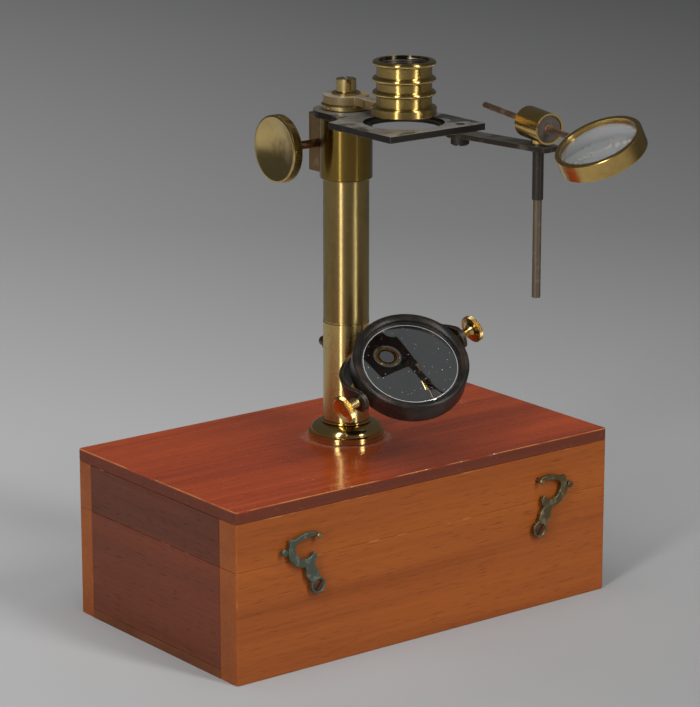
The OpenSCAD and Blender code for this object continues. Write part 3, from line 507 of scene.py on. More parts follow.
@dataclass(frozen=True)
class TurnedBrass:
    """Lacquered brass off the lathe, with fine lines round its axis and painted shade in its
    grooves.
    """

    name: str
    colour: Colour
    shade: Colour
    roughness: float
    stretch: float = 0.0
    lines: float = 0.4
    stain: float = 0.3
    # width of the grooves that get painted shade, in metres
    crevice_shade_reach: float = 0.8 * MM
    # radius inside which the bore gets painted shade, in metres; 0 for none
    bore: float = 0.0
    # radius of the painted dark reflection at a dished face's middle, in metres; 0 for none
    painted_dark_centre_r: float = 0.0
    centre: Vector = field(default_factory=Vector)
    axis: Vector = field(default_factory=lambda: Vector(Axis.Z.value))

    def build(self) -> Material:
        """Makes the material."""
        g = Graph(self.name)
        point = g.place()
        from_centre = g.vector("SUBTRACT", point, tuple(self.centre))
        axial = g.along(from_centre, tuple(self.axis))
        reach = g.reach(from_centre)
        radial = (reach * reach - axial * axial).most(0.0) ** 0.5
        lathe = g.noise(g.join(radial, axial, 0.0), 5200.0, 2.0)
        cloud = g.noise(point, 55.0, 3.0)
        blot = g.noise(point, 420.0, 4.0)
        dull = (cloud * 0.6 + blot * 0.5).rise(0.5, 0.75) * self.stain
        colour = g.mix(lathe * (self.lines * 0.75) + dull, self.colour, self.shade)
        # Painted shade: grooves and corners go dark by ambient occlusion.
        colour = g.mix(g.painted_crevice_shade(self.crevice_shade_reach) * 0.85, colour, tuple(c * 0.3 for c in self.shade))
        # Painted reflection: a dark brown patch at the middle of the dish.
        if self.painted_dark_centre_r:
            brown = radial.rise(self.painted_dark_centre_r, self.painted_dark_centre_r * 0.3)
            brown = brown * (cloud * 0.8 + blot * 0.4).rise(0.35, 0.7)
            colour = g.mix(brown * 0.85, colour, self.shade)
        # Painted shade: the inside of the bore goes almost black.
        if self.bore:
            inside = radial.rise(self.bore + 0.4 * MM, self.bore + 0.2 * MM)
            colour = g.mix(inside * 0.9, colour, (0.07, 0.058, 0.045))
        return g.surface(
            Base_Color=colour,
            Metallic=1.0,
            Roughness=(lathe - 0.5) * (self.lines * 0.35) + (dull * 0.25 + self.roughness),
            Normal=g.bump(lathe, 0.000012, self.lines),
            Anisotropic=self.stretch,
            Anisotropic_Rotation=0.25,
        )


@dataclass(frozen=True)
class WornMetal:
    """Flat brass part under bronze, tarnished or bared by handling, in patches."""

    name: str
    base: Colour
    worn: Colour
    wear: float
    roughness: float
    metallic: float = 1.0
    patch: float = 160.0
    top: Optional[float] = None
    top_colour: Colour = (0.3, 0.28, 0.25)
    edge: float = 0.0
    edge_colour: Colour = (0.45, 0.36, 0.2)

    def build(self) -> Material:
        """Makes the material."""
        g = Graph(self.name)
        point = g.place()
        cloud = g.noise(point, self.patch, 4.0, 0.3)
        fine = g.noise(point, 2400.0, 3.0)
        worn = (cloud * 0.8 + fine * 0.25).rise(0.66 - 0.25 * self.wear, 0.86 - 0.25 * self.wear)
        colour = g.mix(worn, self.base, self.worn)
        rough = fine * 0.12 + cloud * 0.1 + (self.roughness - 0.1)
        if self.top is not None:
            height = g.along(point, Axis.Z.value)
            over = height.rise(self.top - 0.00012, self.top - 0.00004)
            bare = over * (1.0 - (cloud * 0.9 + fine * 0.2).rise(0.56, 0.66) * 0.85)
            tan = g.noise(point, 55.0, 3.0).rise(0.5, 0.62) * 0.6
            browner = tuple(c * f for c, f in zip(self.top_colour, (0.62, 0.52, 0.4)))
            bared = g.mix(tan, self.top_colour, browner)
            colour = g.mix(bare, colour, bared)
            rough = rough + bare * 0.1
        if self.edge:
            rubbed = g.worn_edge(self.edge) * (cloud * 0.9 + fine * 0.5).rise(0.5, 0.8)
            colour = g.mix(rubbed, colour, self.edge_colour)
        return g.surface(
            Base_Color=colour,
            Metallic=self.metallic,
            Roughness=rough,
            Normal=g.bump(fine, 0.00002, 0.35),
        )


@dataclass(frozen=True)
class Japan:
    """Black japan, brown where it is thin and finely pitted."""

    name: str
    black: Colour = (0.012, 0.0105, 0.0095)
    brown: Colour = (0.05, 0.033, 0.022)
    edge: float = 0.0
    edge_colour: Colour = (0.3, 0.19, 0.08)

    def build(self) -> Material:
        """Makes the material."""
        g = Graph(self.name)
        point = g.place()
        cloud = g.noise(point, 130.0, 4.0)
        pit = g.noise(point, 1900.0, 3.0)
        thin = (cloud * 0.7 + pit * 0.35).rise(0.5, 0.72)
        colour = g.mix(thin, self.black, self.brown)
        if self.edge:
            colour = g.mix(g.worn_edge(self.edge) * pit.rise(0.4, 0.6), colour, self.edge_colour)
        return g.surface(
            Base_Color=colour,
            Roughness=cloud * 0.16 + pit * 0.12 + 0.24,
            Normal=g.bump(pit, 0.00003, 0.3),
            Specular_IOR_Level=0.32,
            Coat_Weight=0.06,
            Coat_Roughness=0.22,
        )


@dataclass(frozen=True)
class Silvering:
    """Silvered mirror glass with dust, faint wipe marks and a painted glint ring at its bevel."""

    name: str
    centre: Vector
    painted_glint_r: float

    def build(self) -> Material:
        """Makes the material."""
        g = Graph(self.name)
        point = g.place()
        speck = g.noise(point, 1400.0, 1.0).rise(0.74, 0.79) * 0.7
        smear = g.noise(point, 90.0, 3.0).rise(0.35, 0.75)
        colour = g.mix(smear * 0.3, (0.8, 0.82, 0.81), (0.64, 0.65, 0.63))
        out = g.reach(g.vector("SUBTRACT", point, tuple(self.centre)))
        # Painted highlight: a thin pale ring where the bevel glints.
        bevel = (1.0 - abs(out - self.painted_glint_r).rise(0.06 * MM, 0.2 * MM)) * 0.5
        pale = speck.most(bevel)
        return g.surface(
            Base_Color=g.mix(pale, colour, (0.8, 0.79, 0.75)),
            Metallic=1.0 - pale * 0.9,
            Roughness=smear * 0.05 + pale * 0.5 + 0.015,
            Coat_Weight=0.3,
            Coat_Roughness=0.02,
        )


@dataclass(frozen=True)
class LensGlass:
    """Clear lens glass with a little dust on it."""

    name: str

    def build(self) -> Material:
        """Makes the material."""
        g = Graph(self.name)
        point = g.place()
        speck = g.noise(point, 1500.0, 1.0).rise(0.77, 0.82)
        return g.surface(
            Base_Color=g.mix(speck * 0.5, (0.97, 0.985, 0.98), (0.8, 0.78, 0.74)),
            Roughness=speck * 0.35,
            Transmission_Weight=0.92,
            IOR=1.22,
            Coat_Weight=1.0,
            Coat_Roughness=0.04,
        )


@dataclass(frozen=True)
class Cork:
    """Dark cork packing."""

    name: str

    def build(self) -> Material:
        """Makes the material."""
        g = Graph(self.name)
        point = g.place()
        cell = g.make("ShaderNodeTexVoronoi", None, {"Vector": point, "Scale": 2200.0})
        return g.surface(
            Base_Color=g.mix(cell, (0.028, 0.02, 0.016), (0.1, 0.075, 0.06)),
            Roughness=cell * 0.2 + 0.6,
            Normal=g.bump(cell, 0.00006, 0.5),
        )


# ------------------------------------------------------------------- mesh work


def smooth_over(obj: Object, degrees: float = 32.0) -> None:
    """Shades a solid smooth except over its sharp edges, leaving its points as they are.

    Args:
        obj: the solid.
        degrees: the least angle that stays sharp.
    """
    mesh = obj.data
    work = bmesh.new()
    work.from_mesh(mesh)
    bmesh.ops.remove_doubles(work, verts=work.verts, dist=1e-7)
    if len(work.faces) != len(mesh.polygons):
        work.free()
        return
    limit = math.radians(degrees)
    for edge in work.edges:
        edge.smooth = edge.is_manifold and edge.calc_face_angle(0.0) < limit
    for face in work.faces:
        face.smooth = True
    soft = bpy.data.meshes.new("soft")
    work.to_mesh(soft)
    work.free()
    normals = [tuple(n.vector) for n in soft.corner_normals]
    for polygon in mesh.polygons:
        polygon.use_smooth = True
    mesh.normals_split_custom_set(normals)
    bpy.data.meshes.remove(soft)


def mark_edges(obj: Object, degrees: float, reach: float) -> None:
    """Marks the sharp edges along a solid's outer arrises, which the bevel then eases.

    Args:
        obj: the solid.
        degrees: the least angle that counts as sharp.
        reach: how far from an arris of the solid's box an edge may lie, in metres.
    """
    mesh = obj.data
    work = bmesh.new()
    work.from_mesh(mesh)
    bmesh.ops.remove_doubles(work, verts=work.verts, dist=SAME_POINT)
    low = [min(v.co[i] for v in work.verts) for i in range(3)]
    high = [max(v.co[i] for v in work.verts) for i in range(3)]
    limit = math.radians(degrees)
    sharp = set()
    for edge in work.edges:
        if not edge.is_manifold or edge.calc_face_angle(0.0) < limit:
            continue
        gaps = [
            sorted(min(v.co[i] - low[i], high[i] - v.co[i]) for i in range(3))[1]
            for v in edge.verts
        ]
        if max(gaps) < reach:
            sharp.add(frozenset(tuple(round(c, 5) for c in v.co) for v in edge.verts))
    work.free()
    marks = mesh.attributes.new("bevel_weight_edge", "FLOAT", "EDGE")
    spots = [tuple(round(c, 5) for c in v.co) for v in mesh.vertices]
    for edge in mesh.edges:
        if frozenset(spots[i] for i in edge.vertices) in sharp:
            marks.data[edge.index].value = 1.0


def ease_edges(obj: Object, width: float, reach: float = 0.0, degrees: float = 35.0) -> None:
    """Eases a solid's sharp edges with modifiers.

    Args:
        obj: the solid.
        width: the width of the eased edge, in metres.
        reach: eases only what lies this near to the arrises of its box, in metres; 0 eases all.
        degrees: the least angle that is eased.
    """
    if reach:
        mark_edges(obj, degrees, reach)
    weld = obj.modifiers.new("weld", "WELD")
    weld.merge_threshold = SAME_POINT
    flat = obj.modifiers.new("flat", "DECIMATE")
    flat.decimate_type = "DISSOLVE"
    flat.angle_limit = math.radians(0.4)
    bevel = obj.modifiers.new("eased", "BEVEL")
    bevel.width = width
    bevel.segments = 2
    bevel.limit_method = "WEIGHT" if reach else "ANGLE"
    bevel.angle_limit = math.radians(degrees)
    bevel.use_clamp_overlap = False
    obj.modifiers.new("even", "WEIGHTED_NORMAL").keep_sharp = False


def settle(obj: Object, finish: Material, body: Body) -> Object:
    """Gives a new piece its finish and sets it on its body.

    Args:
        obj: the piece.
        finish: its material.
        body: the body it rides on.

    Returns:
        The piece.
    """
    bpy.context.scene.collection.objects.link(obj)
    obj.data.materials.append(finish)
    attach(obj, body.value)
    LOG.info("made %s: %d faces", obj.name, len(obj.data.polygons))
    return obj


def mesh_piece(
    name: str, points: list, faces: list, finish: Material, body: Body
) -> Object:
    """Makes a new flat-shaded piece and sets it on its body.

    Args:
        name: the piece's name.
        points: its points, in metres, in the frame of the part.
        faces: its faces.
        finish: its material.
        body: the body it rides on.

    Returns:
        The piece.
    """
    mesh = bpy.data.meshes.new(name)
    mesh.from_pydata(points, [], faces)
    mesh.update()
    return settle(bpy.data.objects.new(name, mesh), finish, body)


def arc(centre: Point, r: float, start: float, end: float, steps: int = 16) -> Outline:
    """Points along an arc.

    Args:
        centre: its centre.
        r: its radius.
        start: its first angle, in degrees.
        end: its last angle.
        steps: its segments.

    Returns:
        The points.
    """
    angles = [math.radians(start + (end - start) * i / steps) for i in range(steps + 1)]
    return [(centre[0] + r * math.cos(a), centre[1] + r * math.sin(a)) for a in angles]


def disc(r: float, centre: Point = (0.0, 0.0)) -> Outline:
    """Outline of a disc."""
    return arc(centre, r, 0.0, 355.0, 71)


def oblong(x: float, y: float) -> Outline:
    """Outline of a rectangle round the origin, from half its sides."""
    return [(-x, -y), (x, -y), (x, y), (-x, y)]


def spin(degrees: float, axis: str) -> Matrix:
    """Turn about an axis through the origin."""
    return Matrix.Rotation(math.radians(degrees), 4, axis)


def middle_of(node: str) -> Vector:
    """Middle of a node's box."""
    low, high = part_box(node)
    return (low + high) / 2


def smooth_line(corners: Outline, steps: int = 6) -> Outline:
    """Smooth line through points, which runs at each as its two neighbours lie.

    Args:
        corners: the points it goes through.
        steps: segments between two points.

    Returns:
        The points along it, from the first corner to the last.
    """
    padded = [corners[0], *corners, corners[-1]]
    line = []
    for a, b, c, d in zip(padded, padded[1:], padded[2:], padded[3:]):
        for i in range(steps):
            t = i / steps
            line.append(tuple(
                0.5 * (2 * q + (r - p) * t + (2 * p - 5 * q + 4 * r - s) * t * t
                       + (3 * q - p - 3 * r + s) * t ** 3)
                for p, q, r, s in zip(a, b, c, d)))
    return [*line, corners[-1]]


def plate(
    work: BMesh, solids: list[Outline], holes: list[Outline], low: float, high: float
) -> None:
    """Adds a flat plate made of overlapping outlines less some holes.

    Args:
        work: the mesh it is added to, in millimetres.
        solids: the outlines that are joined.
        holes: the outlines that are taken out.
        low: height of its underside.
        high: height of its top.
    """
    points, loops = [], []
    for outline in [*solids, *holes]:
        turn = sum(a[0] * b[1] - b[0] * a[1] for a, b in zip(outline, [*outline[1:], outline[0]]))
        order = range(len(points), len(points) + len(outline))
        loops.append(list(order) if turn > 0 else list(reversed(order)))
        points.extend(Vector(p) for p in outline)
    cut = geometry.delaunay_2d_cdt(points, [], loops, 1, 1e-5, True)
    kept = [face for face, sources in zip(cut[2], cut[5]) if sources and max(sources) < len(solids)]
    part = bmesh.new()
    corners = [part.verts.new((p.x, p.y, low)) for p in cut[0]]
    for face in kept:
        part.faces.new([corners[i] for i in face])
    bmesh.ops.delete(part, geom=[v for v in part.verts if not v.link_faces], context="VERTS")
    in_line = math.radians(0.2)
    bmesh.ops.dissolve_limit(part, angle_limit=in_line, verts=part.verts, edges=part.edges)
    raised = bmesh.ops.extrude_face_region(part, geom=list(part.faces))["geom"]
    tops = [g for g in raised if isinstance(g, bmesh.types.BMVert)]
    bmesh.ops.translate(part, vec=(0.0, 0.0, high - low), verts=tops)
    bmesh.ops.recalc_face_normals(part, faces=part.faces)
    add_to(work, part)


def turning(work: BMesh, profile: list[tuple[float, ...]], steps: int = 96) -> None:
    """Adds a form turned round the Z axis.

    Args:
        work: the mesh it is added to, in millimetres.
        profile: its radii and heights; a third number is the depth of the knurling there.
        steps: segments round it.
    """
    part = bmesh.new()
    rings = []
    for r, z, *knurl in profile:
        depth = knurl[0] if knurl else 0.0
        ring = []
        for k in range(steps):
            angle = 2 * math.pi * k / steps
            reach = r - (depth if k % 2 else 0.0)
            ring.append(part.verts.new((reach * math.cos(angle), reach * math.sin(angle), z)))
        rings.append(ring)
    pairs = list(zip(rings, rings[1:]))
    if profile[0][0] > 0.0:
        pairs.append((rings[-1], rings[0]))
    for one, two in pairs:
        for k in range(steps):
            n = (k + 1) % steps
            part.faces.new((one[k], one[n], two[n], two[k]))
    bmesh.ops.remove_doubles(part, verts=part.verts, dist=1e-5)
    bmesh.ops.recalc_face_normals(part, faces=part.faces)
    add_to(work, part)


def add_to(work: BMesh, part: BMesh) -> None:
    """Adds one mesh to another, and frees it."""
    mesh = bpy.data.meshes.new("part")
    part.to_mesh(mesh)
    part.free()
    work.from_mesh(mesh)
    bpy.data.meshes.remove(mesh)


def made_piece(
    name: str, work: BMesh, place: Matrix, finish: Material, body: Body
) -> Object:
    """Makes a piece of a mesh in millimetres, shaded smooth over its gentle edges.

    Args:
        name: the piece's name.
        work: its mesh, which is freed.
        place: where it goes, in metres.
        finish: its material.
        body: the body it rides on.

    Returns:
        The piece.
    """
    bmesh.ops.transform(work, matrix=Matrix.Scale(MM, 4), verts=work.verts)
    mesh = bpy.data.meshes.new(name)
    work.to_mesh(mesh)
    work.free()
    for polygon in mesh.polygons:
        polygon.use_smooth = True
    mesh.set_sharp_from_angle(angle=math.radians(30.0))
    obj = bpy.data.objects.new(name, mesh)
    obj.matrix_world = place
    return settle(obj, finish, body)


# ---------------------------------------------------------------- sub-assemblies


@dataclass
class Assembly:
    """Group of CAD nodes that are dressed together."""

    nodes: dict[str, Object]

    def wear(
        self, names: tuple[str, ...], finish: Material, edge: float = 0.0, reach: float = 0.0
    ) -> None:
        """Gives nodes their finish.

        Args:
            names: the nodes.
            finish: their material.
            edge: width of the eased edge, in metres; 0 leaves it as cut.
            reach: eases only what lies this near to the arrises of a node's box, in metres.
        """
        for name in names:
            obj = self.nodes[name]
            obj.data.materials.clear()
            obj.data.materials.append(finish)
            if edge:
                ease_edges(obj, edge, reach)
            else:
                smooth_over(obj)
            LOG.info("dressed %s in %s", name, finish.name)


@dataclass
class Case(Assembly):
    """Mahogany box and lid."""

    edge: float = 0.3 * MM
    reach: float = 1.5 * MM
    foot: Vector = field(default_factory=lambda: Vector((PILLAR_X, PILLAR_Y, 0.0667)))

    def board(self, name: str, look: Mahogany) -> None:
        """Gives one board its wood, rubbed along its own arrises.

        Args:
            name: the board's node.
            look: its finish.
        """
        low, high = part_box(name)
        own = replace(look, name=name + "_wood", low=low, high=high)
        self.wear((name,), own.build(), self.edge, self.reach)

    def dress(self) -> None:
        """Gives the boards their woods."""
        front = Mahogany("front", Axis.X, (0.37, 0.096, 0.014), (0.235, 0.055, 0.009), 0.42, 0.05)
        # Painted shade: the ends are darker copies of the front's mahogany, the lid's ends darker
        # still.
        end = Mahogany("end", Axis.Y, (0.19, 0.04, 0.012), (0.1, 0.02, 0.006), 0.4, 0.06, 0.31)
        shaded_lid_end = replace(end, pale=(0.15, 0.033, 0.01), dark=(0.08, 0.017, 0.005))
        top = LidTop("top", Axis.X, (0.47, 0.07, 0.01), (0.22, 0.028, 0.005), 0.24, 0.35, 0.13,
                     foot=self.foot)
        woods = ((front, ("case_front", "case_back", "lid_front", "lid_back")),
                 (end, ("case_left_end", "case_right_end")),
                 (shaded_lid_end, ("lid_left_end", "lid_right_end")),
                 (top, ("lid_top",)))
        for wood, names in woods:
            for name in names:
                self.board(name, wood)
        under = Mahogany("bottom_mahogany", Axis.X, (0.2, 0.06, 0.02), (0.11, 0.032, 0.012),
                         0.5, 0.0, 0.77)
        self.wear(("case_bottom",), under.build())


@dataclass
class Fittings(Assembly):
    """Hinges, hooks, studs and screws, with their sizes in millimetres."""

    pivot_x: float = 54.2
    pivot_z: float = 32.4
    swing: float = 27.0
    rise: float = 19.5
    back: float = -52.8
    plate_t: float = 1.6
    eye_r: float = 3.3
    seat_r: float = 2.3
    root: float = -6.0  # end of the shanks, in the wood

    def stand(self, side: int, height: float, swing: float) -> Matrix:
        """Place of a fitting on the front: its own Z axis points out of the front.

        Args:
            side: -1 at the left and 1 at the right.
            height: height above the floor, in millimetres.
            swing: its turn, in degrees.

        Returns:
            The place, in metres.
        """
        move = Matrix.Translation(Vector((side * self.pivot_x, self.back, height)) * MM)
        return move @ spin(90.0, "X") @ spin(-side * swing, "Z")

    def make_hook(self, node: str, side: int, finish: Material, body: Body) -> None:
        """Cuts a hook: bellied shank, crescent with its horn, thorn, ball and curved tine.

        Args:
            node: the hook's node, which the piece replaces.
            side: -1 at the left and 1 at the right.
            finish: its material.
            body: the body it rides on.
        """
        back = smooth_line([(9.9, 17.4), (8.3, 19.3), (6.0, 20.9), (4.0, 21.7), (1.8, 22.2),
                            (-0.7, 22.3)])
        thorn = (-2.3, 23.6)
        outside = smooth_line([(-4.1, 21.1), (-5.5, 19.6), (-5.95, 17.6), (-5.7, 15.3),
                               (-4.9, 13.2), (-3.6, 11.4), (-1.5, 9.9)])
        left_side = smooth_line([(-1.9, 8.2), (-2.6, 6.4), (-2.5, 4.6), (-1.9, 2.6)])
        right_side = smooth_line([(2.1, 2.6), (2.5, 4.6), (2.6, 6.6), (2.1, 8.6)])
        horn = smooth_line([(3.7, 9.3), (4.6, 10.7), (4.6, 12.9)])
        inside = smooth_line([(3.2, 12.2), (1.6, 12.1), (0.0, 12.6), (-1.4, 13.8), (-2.3, 15.6),
                              (-2.5, 17.5), (-2.1, 19.2), (-1.0, 20.2), (0.6, 20.4), (2.6, 20.0),
                              (4.6, 19.4), (6.6, 18.5), (8.2, 17.6), (9.4, 16.9)])
        outline = [*back, thorn, *outside, *left_side, *right_side, *horn, *inside]
        ball = disc(1.35, (-6.6, 20.7))
        solids = [[(-side * x, y) for x, y in shape] for shape in (outline, disc(self.eye_r), ball)]
        work = bmesh.new()
        plate(work, solids, [disc(self.seat_r)], 0.0, self.plate_t)
        place = self.stand(side, self.pivot_z, self.swing)
        piece = made_piece(node + "_plate", work, place, finish, body)
        ease_edges(piece, 0.3 * MM)
        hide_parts(node)

    def make_screws(self, finish: Material) -> None:
        """Cuts the two slotted screws that the hooks turn on."""
        shank_r, flange_r, head_r = 1.3, 2.6, 2.15
        head = self.plate_t - 0.25
        floor = head - 0.4
        profile = [(0.0, self.root), (shank_r, self.root), (shank_r, -0.7), (flange_r, -0.7),
                   (flange_r, -0.1), (head_r, -0.1), (head_r, floor), (0.0, floor)]
        for side, word in SIDES:
            work = bmesh.new()
            turning(work, profile, 48)
            plate(work, [disc(head_r)], [oblong(3.0, 0.3)], floor - OVERLAP, head)
            place = self.stand(side, self.pivot_z, -side * 50.0)
            piece = made_piece(word + "_hook_screw", work, place, finish,
                               Body.CASE)
            if side > 0:
                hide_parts("hook_screws")

    def make_studs(self, finish: Material) -> None:
        """Turns the two small studs that the hooks catch on."""
        profile = [(0.0, self.root), (0.8, self.root), (0.8, 1.7), (1.1, 1.9), (1.15, 2.2),
                   (0.85, 2.6), (0.0, 2.75)]
        for side, word in SIDES:
            work = bmesh.new()
            turning(work, profile, 32)
            place = self.stand(side, self.pivot_z + self.rise, 0.0)
            piece = made_piece(word + "_catch_stud", work, place, finish,
                               Body.LID)
            if side > 0:
                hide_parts("catch_studs")

    def dress(self) -> None:
        """Gives the ironmongery its tarnished finishes."""
        green = WornMetal("verdigris_hook", (0.075, 0.088, 0.062), (0.2, 0.21, 0.15), 0.5, 0.5,
                          0.55, 420.0, edge=0.25 * MM, edge_colour=(0.34, 0.33, 0.24))
        olive = WornMetal("olive_hook", (0.13, 0.1, 0.05), (0.3, 0.25, 0.13), 0.6, 0.42,
                          0.85, 420.0, edge=0.25 * MM, edge_colour=(0.45, 0.38, 0.22))
        dull = WornMetal("dull_fitting", (0.3, 0.22, 0.1), (0.5, 0.4, 0.22), 0.5, 0.42, 1.0, 300.0)
        red = WornMetal("reddish_screw", (0.12, 0.05, 0.03), (0.3, 0.13, 0.08), 0.5, 0.4,
                        0.8, 500.0)
        self.make_hook("hook_left", -1, green.build(), Body.LEFT_HOOK)
        self.make_hook("hook_right", 1, olive.build(), Body.RIGHT_HOOK)
        self.make_screws(red.build())
        self.make_studs(dull.build())
        self.wear(("case_hinge_leaves", "lid_hinge_leaves", "hinge_pins", "case_hinge_screws",
                   "lid_hinge_screws", "lid_bush", "bush_screws"), dull.build())


@dataclass
class Pillar(Assembly):
    """Foot, pillar, tube and sleeve."""

    def dress(self) -> None:
        """Gives the turned brass its lacquer."""
        brasses = {
            "pillar_foot": TurnedBrass("polished_brass", (0.68, 0.48, 0.18), (0.3, 0.18, 0.06),
                                       0.16, 0.5, 0.15, 0.08),
            "lower_pillar": TurnedBrass("pillar_brass", (0.66, 0.5, 0.2), (0.5, 0.35, 0.13),
                                        0.26, 1.0, 0.06, 0.08),
            "main_tube": TurnedBrass("satin_brass", (0.47, 0.35, 0.135), (0.27, 0.18, 0.065),
                                     0.37, 1.0, 0.35, 0.2),
            "top_sleeve": TurnedBrass("sleeve_brass", (0.25, 0.16, 0.036), (0.11, 0.066, 0.018),
                                      0.2, 1.0, 0.25, 0.2),
        }
        centre = Vector((PILLAR_X, PILLAR_Y, 0.0))
        for name, brass in brasses.items():
            self.wear((name,), replace(brass, centre=centre).build())
        reddish = WornMetal("reddish_brass", (0.24, 0.15, 0.07), (0.44, 0.31, 0.16), 0.5, 0.36,
                            1.0, 210.0).build()
        self.wear(("pinion_box", "pinion_cap"), reddish, 0.25 * MM, 1.5 * MM)
        self.wear(("cap_screws",), reddish)


@dataclass
class Stage(Assembly):
    """Stage plate, worn grey on top, with the end of the swing screw flush in it."""

    screw_x: float = 16 * MM
    screw_y: float = -49 * MM

    def dress(self) -> None:
        """Gives the stage its worn bronze and bright edges."""
        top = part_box("stage_plate")[1].z
        bronze = WornMetal("bronzed_stage", (0.02, 0.018, 0.015), (0.075, 0.062, 0.046), 0.35,
                           0.46, 0.6, 100.0, top, (0.27, 0.26, 0.24), 0.35 * MM, (0.5, 0.4, 0.26))
        self.wear(("stage_plate",), bronze.build(), 0.14 * MM)
        worn = WornMetal("screw_end", (0.25, 0.24, 0.22), (0.31, 0.3, 0.275), 0.6, 0.5,
                         0.45, 300.0).build()
        work = bmesh.new()
        turning(work, [(0.0, -0.4), (1.75, -0.4), (1.75, -0.12), (1.6, -0.03), (0.0, -0.03)], 48)
        place = Matrix.Translation((self.screw_x, self.screw_y, top))
        made_piece("swing_screw_end", work, place, worn, Body.LID)


@dataclass
class Focus(Assembly):
    """Post, rack, pinion and knob."""

    def dress(self) -> None:
        """Gives the focusing gear its finishes."""
        # The knob's dish gets a painted dark reflection at its middle.
        knob = TurnedBrass("knob_brass", (0.62, 0.46, 0.19), (0.2, 0.14, 0.055), 0.2, 0.0,
                           0.3, 0.3, 0.3 * MM, painted_dark_centre_r=6.0 * MM).build()
        post = TurnedBrass("post_brass", (0.66, 0.49, 0.21), (0.3, 0.2, 0.08), 0.22, 0.4,
                           0.4, 0.3, centre=middle_of("focus_post")).build()
        copper = WornMetal("copper_brown", (0.2, 0.11, 0.062), (0.42, 0.27, 0.17), 0.6, 0.4,
                           1.0, 260.0).build()
        self.turn_knob(knob)
        self.turn_clamp(post)
        self.wear(("focus_post", "post_collar", "arm_washer", "pinion"), post)
        self.wear(("pinion_shaft", "focus_rack"), copper)

    def turn_knob(self, finish: Material) -> None:
        """Turns the dished knob with its straight knurl and hub.

        Args:
            finish: its material.
        """
        r, dish, lip, thick, band, hub = 13.0, 2.75, 0.9, 4.1, 0.7, 1.7
        hollow = [(r - lip) * i / 14 for i in range(15)]
        curve = [(x, dish * (1.0 - (x / (r - lip)) ** 2)) for x in hollow]
        profile = [*curve, (r - lip + 0.2, 0.0), (r - 0.45, 0.0), (r - 0.1, 0.2), (r, 0.45),
                   (r - 0.4, band - 0.1), (r, band, 0.6), (r, thick - 0.2, 0.6), (r - 0.4, thick),
                   (4.0, thick), (3.2, thick + hub), (0.0, thick + hub)]
        work = bmesh.new()
        turning(work, profile, 200)
        middle = middle_of("focus_knob")
        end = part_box("focus_knob")[1].x
        place = Matrix.Translation((end - (thick + hub) * MM, middle.y, middle.z)) @ spin(90.0, "Y")
        piece = made_piece("dished_knob", work, place, finish, Body.PINION_KNOB)
        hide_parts("focus_knob")

    def turn_clamp(self, finish: Material) -> None:
        """Turns the slotted screw that clamps the lens arm.

        Args:
            finish: its material.
        """
        r, foot, tall, shank_r, root = 3.9, 203.1, 5.0, 2.2, -9.0
        floor = tall - 1.2
        work = bmesh.new()
        turning(work, [(0.0, root), (shank_r, root), (shank_r, 0.0), (r, 0.0), (r, floor),
                       (0.0, floor)], 64)
        turn = Matrix.Rotation(math.radians(62.0), 2)
        slot = [tuple(turn @ Vector(corner)) for corner in oblong(6.0, 0.4)]
        plate(work, [disc(r)], [slot], floor - OVERLAP, tall - 0.25)
        plate(work, [disc(r - 0.3)], [slot], tall - 0.25 - OVERLAP, tall)
        middle = middle_of("clamp_screw")
        place = Matrix.Translation((middle.x, middle.y, foot * MM))
        piece = made_piece("slotted_clamp", work, place, finish,
                           Body.FOCUS_CARRIAGE)
        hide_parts("clamp_screw")


